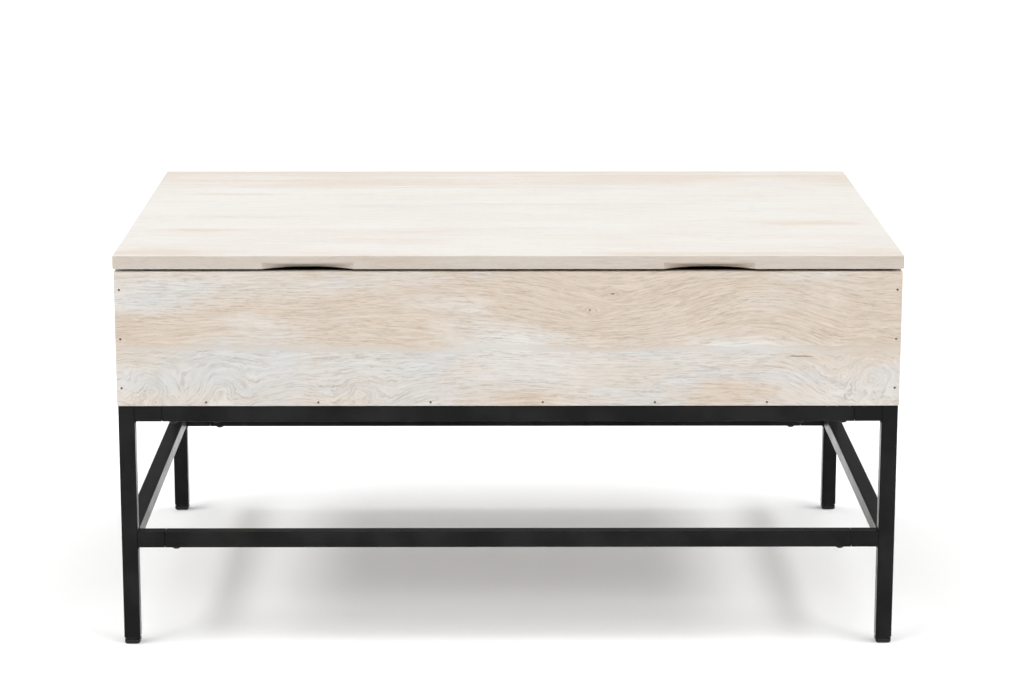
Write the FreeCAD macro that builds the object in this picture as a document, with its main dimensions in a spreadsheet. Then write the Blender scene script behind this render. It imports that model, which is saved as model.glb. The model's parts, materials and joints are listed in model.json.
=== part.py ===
import FreeCAD, Part
import os
import re

import Sketcher

# A lift top coffee table: a welded square-tube base with bolted cross rails, an open wooden
# box on top of it, and a boarded lid that two four-bar lift arms per side carry up and forward.
# Millimetres. Origin on the floor under the middle of the table, +X to the right, +Y to the
# back, +Z up; the finger pulls are on the -Y side.

V = FreeCAD.Vector

# Driving sizes: alias, value, what it is.
SIZES = [
    ("box_width", 914, "outside width of the storage box"),
    ("box_depth", 610, "outside depth of the storage box"),
    ("box_height", 160, "height of the box panels"),
    ("base_height", 291, "floor to the top of the steel base"),
    ("base_inset", 1, "how far the base stands inside the box on each side"),
    ("tube_side", 19, "outside of the square tube"),
    ("tube_wall", 1.5, "wall of the square tube"),
    ("tube_corner", 2, "outside corner radius of the square tube"),
    ("low_rail_top", 138, "floor to the top of the lower rails"),
    ("stub_length", 31.5, "rail stub welded to each leg"),
    ("seam_gap", 0.7, "seam between a stub and its cross rail"),
    ("sleeve_length", 60, "inner sleeve that joins stub and rail"),
    ("sleeve_play", 0.2, "play of sleeves and glide plugs in the tube"),
    ("weld_radius", 3.5, "hollow of the fillet welds"),
    ("glide_height", 8, "foot glide under the leg"),
    ("glide_plug", 12, "foot glide inside the leg"),
    ("glide_round", 2, "rounded lower edge of the glide"),
    ("rail_bolt_inset", 13, "rail bolt from the seam"),
    ("rail_bolt_length", 12, "shank of the rail bolt"),
    ("rail_bolt_radius", 3, "shank radius of the rail bolt"),
    ("bolt_head_radius", 5.5, "button head radius"),
    ("bolt_head_height", 3.3, "button head height"),
    ("box_screw_inset", 64, "box screw from the seam"),
    ("box_screw_bite", 22, "box screw length inside the panel"),
    ("screw_radius", 2, "shank radius of the wood screws"),
    ("screw_head_radius", 4, "head radius of the wood screws"),
    ("screw_head_height", 1.8, "head height of the wood screws"),
    ("fixed_play", 0.05, "radial play round fixed pins, screws and brads"),
    ("panel_thickness", 12, "side, front and back panels"),
    ("floor_thickness", 9, "bottom panel"),
    ("wood_round", 1, "eased edge of the wood"),
    ("brad_radius", 0.9, "finishing nail radius"),
    ("brad_length", 35, "finishing nail length"),
    ("brad_rise", 58.4, "height step of the corner brads"),
    ("brad_start_left", 104, "first bottom brad from the left end"),
    ("brad_start_right", 155, "last bottom brad from the right end"),
    ("lid_gap", 3, "open line between box and lid"),
    ("lid_overhang", 1, "lid past the box on each side"),
    ("lid_thickness", 16, "lid boards"),
    ("pull_spacing", 465, "between the two finger pulls"),
    ("pull_width", 106, "finger pull along the lid edge"),
    ("pull_depth", 17, "finger pull into the lid"),
    ("pull_height", 6.2, "finger pull height"),
    ("bumper_radius", 5, "rubber bumper radius"),
    ("bumper_play", 0.2, "bumper to closed lid"),
    ("bumper_inset", 33, "bumper from the front or back panel"),
    ("cleat_width", 40, "cleat across X"),
    ("cleat_thickness", 16, "cleat height"),
    ("cleat_wall_gap", 5, "cleat to the side panel"),
    ("cleat_end_gap", 38, "cleat end to the front or back panel"),
    ("cleat_screw_margin", 30, "outer cleat screw from the cleat end"),
    ("cleat_screw_bite", 10, "cleat screw length inside the lid"),
    ("plate_thickness", 2, "base plate of the lift mechanism"),
    ("plate_border", 17, "plate edge past the stop pin and the spring anchor"),
    ("plate_lift", 3, "plate above the box floor"),
    ("plate_tail", 36, "plate height at its rear end"),
    ("plate_corner", 5.5, "rounded corners of the plate"),
    ("plate_screw_bite", 9, "plate screw length inside the side panel"),
    ("plate_screw_edge", 9, "plate screws from the plate edges"),
    ("plate_screw_step", 42, "middle plate screw behind the rear pivot"),
    ("plate_screw_drop", 20, "upper plate screw below the stop pin"),
    ("washer_thickness", 1, "pivot washers"),
    ("washer_radius", 8, "pivot washers"),
    ("side_play", 0.2, "side play of the arms"),
    ("arm_thickness", 3, "lift arms"),
    ("arm_width", 22, "lift arms"),
    ("arm_length", 215, "between the pivots of an arm"),
    ("closed_angle", 10, "rise of the arms towards the back when the lid is shut"),
    ("lift_angle", 100, "turn of the arms from shut to open"),
    ("rear_pivot_y", -100, "rear arm pivot on the plate"),
    ("pivot_step_y", 60, "front pivot ahead of the rear one"),
    ("pivot_step_z", 30, "front pivot above the rear one"),
    ("lid_pivot_drop", 36, "front lid pivot below the lid"),
    ("pivot_radius", 4, "pivot pins"),
    ("running_play", 0.05, "radial play of the arms on their pins"),
    ("pin_head_radius", 6, "heads of the pivot pins"),
    ("pin_head_height", 1.8, "heads of the pivot pins"),
    ("rivet_height", 1, "peened end of the lid pivot pins"),
    ("rivet_radius", 5, "peened end of the lid pivot pins"),
    ("stop_radius", 4, "stop pin"),
    ("stop_reach", 40, "stop pin from the front pivot along the open arm"),
    ("stop_gap", 0.3, "open arm to stop pin"),
    ("tail_reach", 30, "spring pin from the rear pivot"),
    ("tail_end", 9, "arm end past the spring pin"),
    ("anchor_y", 0, "spring anchor on the plate"),
    ("anchor_height", 11, "spring anchor above the box floor"),
    ("spring_pin_radius", 3, "spring pins"),
    ("collar_radius", 4.5, "head of the spring pins"),
    ("collar_height", 1.2, "head of the spring pins"),
    ("coil_radius", 5, "mean radius of the spring and of its loops"),
    ("wire_radius", 0.8, "spring wire"),
    ("spring_turns", 45, "working turns of the spring"),
    ("hook_wire", 0.76, "radius of the wire bent in from the coil to the loop"),
    ("hook_shift", 0.48, "how far the bent wire is set into the coil"),
    ("spring_play", 0.6, "spring to the pin heads beside it"),
    ("hook_play", 0.3, "spring loop to its pin"),
    ("bracket_thickness", 2, "lid bracket"),
    ("bracket_flange", 32, "top flange of the lid bracket"),
    ("bracket_end", 32, "lid bracket past its pivots"),
    ("bracket_skirt", 13, "lid bracket below its lower pivot"),
    ("bracket_corner", 10, "lower corners of the lid bracket"),
    ("bracket_bend", 1.5, "bend radius of the lid bracket"),
    ("bracket_screw_step", 45, "between the bracket screws"),
    ("bracket_screw_inset", 10, "bracket screws from the flange edge"),
]

# Sizes and places that follow from the driving ones.
DERIVED = {
    "base_half_x": "box_width / 2 - base_inset",
    "base_half_y": "box_depth / 2 - base_inset",
    "leg_x": "base_half_x - tube_side / 2",
    "leg_y": "base_half_y - tube_side / 2",
    "top_rail_z": "base_height - tube_side / 2",
    "low_rail_z": "low_rail_top - tube_side / 2",
    "leg_face_x": "base_half_x - tube_side",
    "leg_face_y": "base_half_y - tube_side",
    "seam_x": "leg_face_x - stub_length",
    "rail_half": "seam_x - seam_gap",
    "bolt_x": "seam_x - rail_bolt_inset",
    "box_screw_x": "seam_x - box_screw_inset",
    "tube_inside": "tube_side - 2 * tube_wall",
    "plug_side": "tube_inside - 2 * sleeve_play",
    "half_x": "box_width / 2",
    "half_y": "box_depth / 2",
    "wall_x": "half_x - panel_thickness",
    "wall_y": "half_y - panel_thickness",
    "panel_mid_x": "half_x - panel_thickness / 2",
    "panel_mid_y": "half_y - panel_thickness / 2",
    "box_top": "base_height + box_height",
    "floor_top": "base_height + floor_thickness",
    "lid_low": "box_top + lid_gap",
    "lid_half_x": "half_x + lid_overhang",
    "lid_half_y": "half_y + lid_overhang",
    "lid_depth": "2 * lid_half_y",
    "pull_radius": "(pull_width * pull_width / 4 + pull_depth * pull_depth) / (2 * pull_depth)",
    "cleat_low": "lid_low - cleat_thickness",
    "cleat_outer": "wall_x - cleat_wall_gap",
    "cleat_half": "wall_y - cleat_end_gap",
    "cleat_screw_step": "(cleat_half - cleat_screw_margin) / 2",
    "arm_out": "plate_thickness + washer_thickness + side_play",
    "arm_in": "arm_out + arm_thickness",
    "head_face": "arm_in + side_play",
    "bracket_out": "head_face + washer_thickness",
    "bracket_in": "bracket_out + bracket_thickness",
    "spring_out": "head_face + pin_head_height + spring_play + coil_radius + wire_radius",
    "spring_pin_end": "spring_out + wire_radius + hook_play",
    "front_lid_z": "lid_low - lid_pivot_drop",
    "rear_lid_z": "front_lid_z - pivot_step_z",
    "front_pivot_y": "rear_pivot_y - pivot_step_y",
    "front_pivot_z": "front_lid_z - arm_length * sin(closed_angle)",
    "rear_pivot_z": "front_pivot_z - pivot_step_z",
    "rear_lid_y": "rear_pivot_y + arm_length * cos(closed_angle)",
    "front_lid_y": "front_pivot_y + arm_length * cos(closed_angle)",
    "open_angle": "closed_angle + lift_angle",
    "stop_offset": "arm_width / 2 + stop_radius + stop_gap",
    "stop_y": "front_pivot_y + stop_reach * cos(open_angle) - stop_offset * sin(open_angle)",
    "stop_z": "front_pivot_z + stop_reach * sin(open_angle) + stop_offset * cos(open_angle)",
    "anchor_z": "floor_top + anchor_height",
    "tail_y": "rear_pivot_y - tail_reach * cos(closed_angle)",
    "tail_z": "rear_pivot_z - tail_reach * sin(closed_angle)",
    "plate_low": "floor_top + plate_lift",
    "plate_front": "stop_y - plate_border",
    "plate_rear": "anchor_y + plate_border",
    "plate_top": "stop_z + plate_border",
    "tail_screw_y": "plate_rear - plate_screw_edge",
    "arm_under": "rear_pivot_z + (tail_screw_y - rear_pivot_y) * tan(closed_angle)"
                 " - arm_width / 2 / cos(closed_angle)",
    "tail_screw_z": "min(plate_low + plate_tail - plate_screw_edge; arm_under - 2 * screw_head_radius)",
    "bracket_front": "front_lid_y - bracket_end",
    "bracket_rear": "rear_lid_y + bracket_end",
    "bracket_low": "rear_lid_z - bracket_skirt",
    "bracket_screw_x": "wall_x - bracket_out - bracket_flange + bracket_screw_inset",
    "bracket_mid": "(bracket_front + bracket_rear) / 2",
    "spring_run_y": "anchor_y - tail_y",
    "spring_run_z": "tail_z - anchor_z",
    "spring_span": "sqrt(spring_run_y * spring_run_y + spring_run_z * spring_run_z)",
    "hook_offset": "2 * coil_radius - wire_radius - spring_pin_radius - hook_play",
    "coil_length": "spring_span - 2 * hook_offset",
}

BOARD_COUNT = 5
BOTTOM_BRADS = 6
HEAD_CROWN = 0.7    # share of a screw head's height that is rounded
ARM_END_ROUND = 0.49    # of the arm's width, just short of a full half round
SIDES = {"left": "-", "right": "+"}
ENDS = {"front": "-", "rear": "+"}
DIRECTIONS = {
    "+X": V(1, 0, 0), "-X": V(-1, 0, 0),
    "+Y": V(0, 1, 0), "-Y": V(0, -1, 0),
    "+Z": V(0, 0, 1), "-Z": V(0, 0, -1),
}

doc = FreeCAD.newDocument("LiftTopCoffeeTable")
sheet = doc.addObject("Spreadsheet::Sheet", "Sizes")
aliases = {name for name, value, note in SIZES}
nodes = {}


def fill_sheet():
    """Put each driving size in the sheet: name, value and note in one row."""
    for row, (name, value, note) in enumerate(SIZES, start=1):
        sheet.set(f"A{row}", name)
        sheet.set(f"B{row}", str(value))
        sheet.set(f"C{row}", note)
        sheet.setAlias(f"B{row}", name)
    doc.recompute()


def expand(text):
    """Write an expression out until it names only cells of the sheet."""
    def swap(match):
        word = match.group(0)
        if word in DERIVED:
            return "(" + expand(DERIVED[word]) + ")"
        return "Sizes." + word if word in aliases else word
    return re.sub(r"[a-z_]+[a-z0-9_]*", swap, str(text))


def bind(item, prop, text):
    item.setExpression(prop, expand(text))


def place(item, x, y, z):
    bind(item, "Placement.Base.x", x)
    bind(item, "Placement.Base.y", y)
    bind(item, "Placement.Base.z", z)


def node(name, item):
    """Call an object a sub-part: its label names its file."""
    item.Label = name
    nodes[name] = item
    return item


def turn_about_x(item, angle):
    """Turn an object about the X axis by an angle given as an expression."""
    item.Placement = FreeCAD.Placement(V(0, 0, 0), FreeCAD.Rotation(V(1, 0, 0), 1))
    bind(item, "Placement.Rotation.Angle", angle)


def sketch_on(body, role):
    sketch = body.newObject("Sketcher::SketchObject", body.Name + "Sketch")
    plane = next(o for o in body.Origin.OriginFeatures if o.Role == role)
    sketch.AttachmentSupport = (plane, "")
    sketch.MapMode = "FlatFace"
    return sketch


def fix_point(sketch, geometry, point, u, v):
    """Tie one sketch point to the origin by its two coordinates."""
    for kind, text in (("DistanceX", u), ("DistanceY", v)):
        index = sketch.addConstraint(Sketcher.Constraint(kind, -1, 1, geometry, point, 1.0))
        bind(sketch, f"Constraints[{index}]", text)


def outline(body, role, points):
    """A closed outline with straight sides through points given as expressions."""
    sketch = sketch_on(body, role)
    count = len(points)
    for i in range(count):
        start = V(i, i * i, 0)
        end = V((i + 1) % count, ((i + 1) % count) ** 2, 0)
        sketch.addGeometry(Part.LineSegment(start, end), False)
    for i in range(count):
        sketch.addConstraint(Sketcher.Constraint("Coincident", i, 2, (i + 1) % count, 1))
    for i, (u, v) in enumerate(points):
        fix_point(sketch, i, 1, u, v)
    return sketch


def pad(body, sketch, length):
    feature = body.newObject("PartDesign::Pad", body.Name + "Pad")
    feature.Profile = sketch
    bind(feature, "Length", length)
    return feature


def pocket_through(body, sketch):
    """Cut the sketch through the solid that lies on the sketch's own normal side."""
    doc.recompute()
    before = body.Shape.Volume
    feature = body.newObject("PartDesign::Pocket", body.Name + "Pocket")
    feature.Profile = sketch
    feature.Type = "ThroughAll"
    feature.Reversed = True
    doc.recompute()
    if body.Shape.Volume >= before:
        raise ValueError(body.Name + ": the pocket cuts nothing")


def circles(body, role, rounds):
    """A sketch of circles: centre u, centre v and radius as expressions."""
    sketch = sketch_on(body, role)
    for i, (u, v, radius) in enumerate(rounds):
        sketch.addGeometry(Part.Circle(V(i, i, 0), V(0, 0, 1), 1), False)
        fix_point(sketch, i, 3, u, v)
        index = sketch.addConstraint(Sketcher.Constraint("Radius", i, 1.0))
        bind(sketch, f"Constraints[{index}]", radius)
    return sketch


def edges_between(shape, pairs):
    """Names of the straight edges that lie on both of two outer faces, such as -y and +z."""
    box = shape.BoundBox
    limit = {
        "-x": (0, box.XMin), "+x": (0, box.XMax), "-y": (1, box.YMin),
        "+y": (1, box.YMax), "-z": (2, box.ZMin), "+z": (2, box.ZMax),
    }
    found = []
    for number, edge in enumerate(shape.Edges, start=1):
        ends = [vertex.Point for vertex in edge.Vertexes]
        for pair in pairs:
            if all(abs(end[limit[face][0]] - limit[face][1]) < 1e-6 for face in pair for end in ends):
                found.append(f"Edge{number}")
    return found


def edges_along(shape, axis):
    """Names of the straight edges that run along one axis."""
    found = []
    for number, edge in enumerate(shape.Edges, start=1):
        if len(edge.Vertexes) == 2 and edge.Curve.TypeId == "Part::GeomLine":
            run = edge.Vertexes[1].Point - edge.Vertexes[0].Point
            if abs(abs(run.normalize().dot(axis)) - 1) < 1e-9:
                found.append(f"Edge{number}")
    return found


def fillet(body, names, radius):
    base = body.Tip
    feature = body.newObject("PartDesign::Fillet", body.Name + "Fillet")
    feature.Base = (base, names)
    bind(feature, "Radius", radius)
    doc.recompute()


def square(side):
    half = f"({side}) / 2"
    return [("-" + half, "-" + half), (half, "-" + half), (half, half), ("-" + half, half)]


def slab(name, low, high, rounded=()):
    """A board between two corners, with the edges named in rounded eased."""
    body = doc.addObject("PartDesign::Body", name)
    corners = [(low[0], low[1]), (high[0], low[1]), (high[0], high[1]), (low[0], high[1])]
    pad(body, outline(body, "XY_Plane", corners), f"({high[2]}) - ({low[2]})")
    bind(body, "Placement.Base.z", low[2])
    doc.recompute()
    if rounded:
        fillet(body, edges_between(body.Shape, rounded), "wood_round")
    return body


def square_tube(name, axis, side, length, centre):
    """A hollow square bar from centre along axis (Y bars run towards the front)."""
    plane = {"X": "YZ_Plane", "Y": "XZ_Plane", "Z": "XY_Plane"}[axis]
    body = doc.addObject("PartDesign::Body", name)
    pad(body, outline(body, plane, square(side)), length)
    doc.recompute()
    fillet(body, edges_along(body.Shape, DIRECTIONS["+" + axis]), "tube_corner")
    pocket_through(body, outline(body, plane, square(f"{side} - 2 * tube_wall")))
    place(body, *centre)
    return body


def cylinder(name, radius, height, base="0"):
    item = doc.addObject("Part::Cylinder", name)
    bind(item, "Radius", radius)
    bind(item, "Height", height)
    bind(item, "Placement.Base.z", base)
    return item


def fused(name, pieces):
    item = doc.addObject("Part::MultiFuse", name)
    item.Shapes = pieces
    return item


def compound(name, pieces):
    item = doc.addObject("Part::Compound", name)
    item.Links = pieces
    return item


def cut(name, base, tool):
    item = doc.addObject("Part::Cut", name)
    item.Base = base
    item.Tool = tool
    return item


def mirrored(name, source):
    """The same piece on the right-hand side."""
    item = doc.addObject("Part::Mirroring", name)
    item.Source = source
    item.Normal = V(1, 0, 0)
    return item


def copy_at(master, x, y, z, rotation):
    """A linked copy of a master piece, turned and set at a point given as expressions."""
    item = doc.addObject("App::Link", master.Name + "Copy")
    item.LinkedObject = master
    item.Placement = FreeCAD.Placement(V(0, 0, 0), rotation)
    place(item, x, y, z)
    return item


def copies(name, master, places):
    """A group of turned pieces: each place is x, y, z and the way the piece's +Z points."""
    items = []
    for x, y, z, way in places:
        turn = FreeCAD.Rotation(DIRECTIONS["+Z"], DIRECTIONS[way])
        items.append(copy_at(master, x, y, z, turn))
    return compound(name, items)


def screw(name, radius, length, head_radius, head_height):
    """A screw or headed pin along +Z from under its head, which ends at the origin."""
    body = doc.addObject("PartDesign::Body", name)
    crown = pad(body, circles(body, "XY_Plane", [("0", "0", head_radius)]), head_height)
    crown.Reversed = True
    doc.recompute()
    rim = [f"Edge{i}" for i, edge in enumerate(body.Shape.Edges, start=1)
           if len(edge.Vertexes) == 1 and edge.Vertexes[0].Z < -1e-6]
    fillet(body, rim, f"{head_height} * {HEAD_CROWN}")
    pad(body, circles(body, "XY_Plane", [("0", "0", radius)]), length)
    return body


def screw_hole(name, radius, length):
    return cylinder(name, f"{radius} + fixed_play", f"{length} + fixed_play")


def make_legs():
    """Four legs, each a tube on a plastic glide that plugs into its end."""
    for end, sy in ENDS.items():
        for side, sx in SIDES.items():
            leg = square_tube("leg_" + end + "_" + side, "Z", "tube_side",
                              "base_height - glide_height", (sx + "leg_x", sy + "leg_y", "glide_height"))
            node(leg.Name, leg)
            glide = doc.addObject("PartDesign::Body", "foot_glide_" + end + "_" + side)
            pad(glide, outline(glide, "XY_Plane", square("tube_side")), "glide_height")
            doc.recompute()
            lower = [("-z", "-x"), ("-z", "+x"), ("-z", "-y"), ("-z", "+y"),
                     ("-x", "-y"), ("+x", "-y"), ("-x", "+y"), ("+x", "+y")]
            fillet(glide, edges_between(glide.Shape, lower), "glide_round")
            pad(glide, outline(glide, "XY_Plane", square("plug_side")), "glide_height + glide_plug")
            place(glide, sx + "leg_x", sy + "leg_y", "0")
            node(glide.Name, glide)


def make_side_rails():
    """The rails that close each side frame, at the top and at the lower level."""
    for side, sx in SIDES.items():
        for level in ("top", "low"):
            rail = square_tube("side_rail_" + level + "_" + side, "Y", "tube_side",
                               "2 * leg_face_y", (sx + "leg_x", "leg_face_y", level + "_rail_z"))
            node(rail.Name, rail)


def make_cross_rails():
    """Rail stubs on the legs, the cross rails between them, and the sleeves inside both."""
    sleeves = []
    bolts = []
    for side, sx in SIDES.items():
        stubs = []
        start = "-leg_face_x" if side == "left" else "seam_x"
        for end, sy in ENDS.items():
            for level in ("top", "low"):
                spot = end.capitalize() + level.capitalize() + side.capitalize()
                height = level + "_rail_z"
                stubs.append(square_tube("Stub" + spot, "X", "tube_side", "stub_length",
                                         (start, sy + "leg_y", height)))
                bolts.append((sx + "bolt_x", sy + "leg_y", height + " - tube_side / 2", "+Z"))
                sleeves.append(square_tube("Sleeve" + spot, "X", "plug_side", "sleeve_length",
                                           (sx + "seam_x - sleeve_length / 2", sy + "leg_y", height)))
        node("rail_stubs_" + side, compound("rail_stubs_" + side, stubs))
    bolt = screw("RailBolt", "rail_bolt_radius", "rail_bolt_length", "bolt_head_radius", "bolt_head_height")
    hole = screw_hole("RailBoltHole", "rail_bolt_radius", "rail_bolt_length")
    bolt_holes = copies("RailBoltHoles", hole, bolts)
    node("rail_bolts", copies("rail_bolts", bolt, bolts))
    node("rail_sleeves", cut("rail_sleeves", compound("Sleeves", sleeves), bolt_holes))
    for end, sy in ENDS.items():
        for level in ("top", "low"):
            name = end + "_rail_" + level
            rail = square_tube(name + "_bar", "X", "tube_side", "2 * rail_half",
                               ("-rail_half", sy + "leg_y", level + "_rail_z"))
            drilled = cut(name, rail, bolt_holes)
            if level == "top":
                drilled = cut(name + "_drilled", drilled, holes_for["box"])
            node(name, drilled)


def make_welds():
    """Hollow fillet welds in the corners between the legs and the rails."""
    block = doc.addObject("Part::Box", "WeldBlock")
    bind(block, "Length", "weld_radius")
    bind(block, "Width", "tube_side - 2 * tube_corner")
    bind(block, "Height", "weld_radius")
    bind(block, "Placement.Base.y", "tube_corner - tube_side / 2")
    hollow = cylinder("WeldHollow", "weld_radius", "tube_side")
    hollow.Placement = FreeCAD.Placement(V(0, 0, 0), FreeCAD.Rotation(V(1, 0, 0), 90))
    place(hollow, "weld_radius", "tube_side / 2", "weld_radius")
    bead = cut("WeldBead", block, hollow)
    corners = [("top_rail_z - tube_side / 2", 1), ("low_rail_z - tube_side / 2", 1),
               ("low_rail_z + tube_side / 2", 0)]
    beads = []
    for sy in ENDS.values():
        for sx in SIDES.values():
            for height, below in corners:
                # Along X the bead grows away from the leg, towards the middle of the table.
                turn = FreeCAD.Rotation(V(0, 1, 0), 90 * below)
                if sx == "+":
                    turn = FreeCAD.Rotation(V(0, 0, 1), 180).multiply(turn)
                beads.append(copy_at(bead, sx + "leg_face_x", sy + "leg_y", height, turn))
                turn = FreeCAD.Rotation(V(0, 0, 1), 90 if sy == "-" else -90)
                turn = turn.multiply(FreeCAD.Rotation(V(0, 1, 0), 90 * below))
                beads.append(copy_at(bead, sx + "leg_x", sy + "leg_face_y", height, turn))
    node("frame_welds", compound("frame_welds", beads))


def brad_places():
    """Corner brads into the side panels, and brads into the edge of the bottom panel."""
    corner = []
    bottom = []
    for sy, way in (("-", "+Y"), ("+", "-Y")):
        for sx in SIDES.values():
            for step in (-1, 0, 1):
                rise = f"base_height + box_height / 2 + {step} * brad_rise"
                corner.append((sx + "panel_mid_x", sy + "half_y", rise, way))
        for i in range(BOTTOM_BRADS):
            share = i / (BOTTOM_BRADS - 1)
            run = f"-half_x + brad_start_left + {share} * (box_width - brad_start_left - brad_start_right)"
            bottom.append((run, sy + "half_y", "base_height + floor_thickness / 2", way))
    return corner, bottom


def make_box():
    """Front and back panels over the ends of the sides, with the bottom between all four."""
    corner, bottom = brad_places()
    brad = cylinder("Brad", "brad_radius", "brad_length")
    brad_hole = cylinder("BradHole", "brad_radius + fixed_play", "brad_length + fixed_play")
    node("corner_brads", copies("corner_brads", brad, corner))
    node("bottom_brads", copies("bottom_brads", brad, bottom))
    brad_holes = copies("BradHoles", brad_hole, corner + bottom)
    holes = compound("PanelHoles", [brad_holes, holes_for["box"], holes_for["plate"]])
    front = slab("FrontBoard", ("-half_x", "-half_y", "base_height"), ("half_x", "-wall_y", "box_top"),
                 [("-y", "+z"), ("+y", "+z"), ("-y", "-z"), ("-x", "-y"), ("+x", "-y"),
                  ("-x", "+z"), ("+x", "+z")])
    back = slab("BackBoard", ("-half_x", "wall_y", "base_height"), ("half_x", "half_y", "box_top"),
                [("-y", "+z"), ("+y", "+z"), ("+y", "-z"), ("-x", "+y"), ("+x", "+y"),
                 ("-x", "+z"), ("+x", "+z")])
    left = slab("LeftBoard", ("-half_x", "-wall_y", "base_height"), ("-wall_x", "wall_y", "box_top"),
                [("-x", "+z"), ("+x", "+z"), ("-x", "-z")])
    right = slab("RightBoard", ("wall_x", "-wall_y", "base_height"), ("half_x", "wall_y", "box_top"),
                 [("-x", "+z"), ("+x", "+z"), ("+x", "-z")])
    floor = slab("FloorBoard", ("-wall_x", "-wall_y", "base_height"), ("wall_x", "wall_y", "floor_top"))
    for name, board in (("front", front), ("back", back), ("left", left), ("right", right),
                        ("bottom", floor)):
        node("box_" + name + "_panel", cut("box_" + name + "_panel", board, holes))
    bumper = cylinder("Bumper", "bumper_radius", "lid_gap - bumper_play")
    spots = [(sx + "panel_mid_x", sy + "(wall_y - bumper_inset)", "box_top", "+Z")
             for sx in SIDES.values() for sy in ENDS.values()]
    node("lid_bumpers", copies("lid_bumpers", bumper, spots))


def box_screw_places():
    return [(sx + "box_screw_x", sy + "panel_mid_y", "base_height - tube_side", "+Z")
            for sx in SIDES.values() for sy in ENDS.values()]


def plate_screw_places():
    """Four screws per base plate, clear of the sweep of both arms."""
    front, low = "plate_front + plate_screw_edge", "plate_low + plate_screw_edge"
    spots = [(front, low), ("rear_pivot_y + plate_screw_step", low), ("tail_screw_y", "tail_screw_z"),
             (front, "stop_z - plate_screw_drop")]
    places = []
    for y, z in spots:
        places.append(("-wall_x + plate_thickness", y, z, "-X"))
        places.append(("wall_x - plate_thickness", y, z, "+X"))
    return places


def both_sides(depth, y, z, way):
    """The same turned piece on the left and on the right, depth inside the side panels."""
    back = {"+X": "-X", "-X": "+X"}[way]
    return [(f"-wall_x + {depth}", y, z, way), (f"wall_x - ({depth})", y, z, back)]


def make_base_plates():
    """The fixed plates with their pivots, washers, stop pins and spring anchors."""
    plate = doc.addObject("PartDesign::Body", "BasePlate")
    points = [("plate_front", "plate_low"), ("plate_rear", "plate_low"),
              ("plate_rear", "plate_low + plate_tail"),
              ("rear_pivot_y + arm_width", "rear_pivot_z + arm_width"),
              ("front_pivot_y + arm_width", "plate_top"), ("plate_front", "plate_top")]
    pad(plate, outline(plate, "YZ_Plane", points), "plate_thickness")
    doc.recompute()
    fillet(plate, edges_along(plate.Shape, V(1, 0, 0)), "plate_corner")
    pocket_through(plate, circles(plate, "YZ_Plane", [
        ("rear_pivot_y", "rear_pivot_z", "pivot_radius + fixed_play"),
        ("front_pivot_y", "front_pivot_z", "pivot_radius + fixed_play"),
        ("stop_y", "stop_z", "stop_radius + fixed_play"),
        ("anchor_y", "anchor_z", "spring_pin_radius + fixed_play"),
    ]))
    bind(plate, "Placement.Base.x", "-wall_x")
    left = node("left_base_plate", cut("left_base_plate", plate, holes_for["plate"]))
    node("right_base_plate", mirrored("right_base_plate", left))
    node("base_plate_screws", copies("base_plate_screws", screws["plate"], plate_screw_places()))

    pivots = [("rear_pivot_y", "rear_pivot_z"), ("front_pivot_y", "front_pivot_z")]
    pin = screw("BasePivot", "pivot_radius", "head_face", "pin_head_radius", "pin_head_height")
    pins = [spot for y, z in pivots for spot in both_sides("head_face", y, z, "-X")]
    node("base_pivot_pins", copies("base_pivot_pins", pin, pins))
    rings = [spot for y, z in pivots for spot in both_sides("plate_thickness", y, z, "+X")]
    node("base_pivot_washers", copies("base_pivot_washers", washer, rings))

    stop = cylinder("StopPin", "stop_radius", "arm_in + pin_head_height")
    node("stop_pins", copies("stop_pins", stop, both_sides("0", "stop_y", "stop_z", "+X")))
    anchor = screw("SpringAnchor", "spring_pin_radius", "spring_pin_end", "collar_radius", "collar_height")
    spots = both_sides("spring_pin_end", "anchor_y", "anchor_z", "-X")
    node("spring_anchor_pins", copies("spring_anchor_pins", anchor, spots))


def arm(name, tail, y, z):
    """A flat arm from its tail to its lid pivot, on the pivot at y, z, at the closed angle."""
    body = doc.addObject("PartDesign::Body", name)
    half = "arm_width / 2"
    tip = "arm_length + arm_width / 2"
    points = [("-(" + tail + ")", "-" + half), (tip, "-" + half), (tip, half), ("-(" + tail + ")", half)]
    pad(body, outline(body, "YZ_Plane", points), "arm_thickness")
    doc.recompute()
    fillet(body, edges_along(body.Shape, V(1, 0, 0)), f"arm_width * {ARM_END_ROUND}")
    pivot = "pivot_radius + running_play"
    holes = [("0", "0", pivot), ("arm_length", "0", pivot)]
    if "tail_reach" in tail:
        holes.append(("-tail_reach", "0", "spring_pin_radius + fixed_play"))
    pocket_through(body, circles(body, "YZ_Plane", holes))
    turn_about_x(body, "closed_angle")
    place(body, "-wall_x + arm_out", y, z)
    return body


def make_arms():
    """Rear arms, which carry the spring pins on their tails, and front arms."""
    rear = arm("left_rear_arm", "tail_reach + tail_end", "rear_pivot_y", "rear_pivot_z")
    node("left_rear_arm", rear)
    node("right_rear_arm", mirrored("right_rear_arm", rear))
    front = arm("left_front_arm", "arm_width / 2", "front_pivot_y", "front_pivot_z")
    node("left_front_arm", front)
    node("right_front_arm", mirrored("right_front_arm", front))
    pin = screw("SpringTail", "spring_pin_radius", "(spring_pin_end - arm_out)",
                "collar_radius", "collar_height")
    spots = both_sides("spring_pin_end", "tail_y", "tail_z", "-X")
    node("spring_tail_pins", copies("spring_tail_pins", pin, spots))


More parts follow.
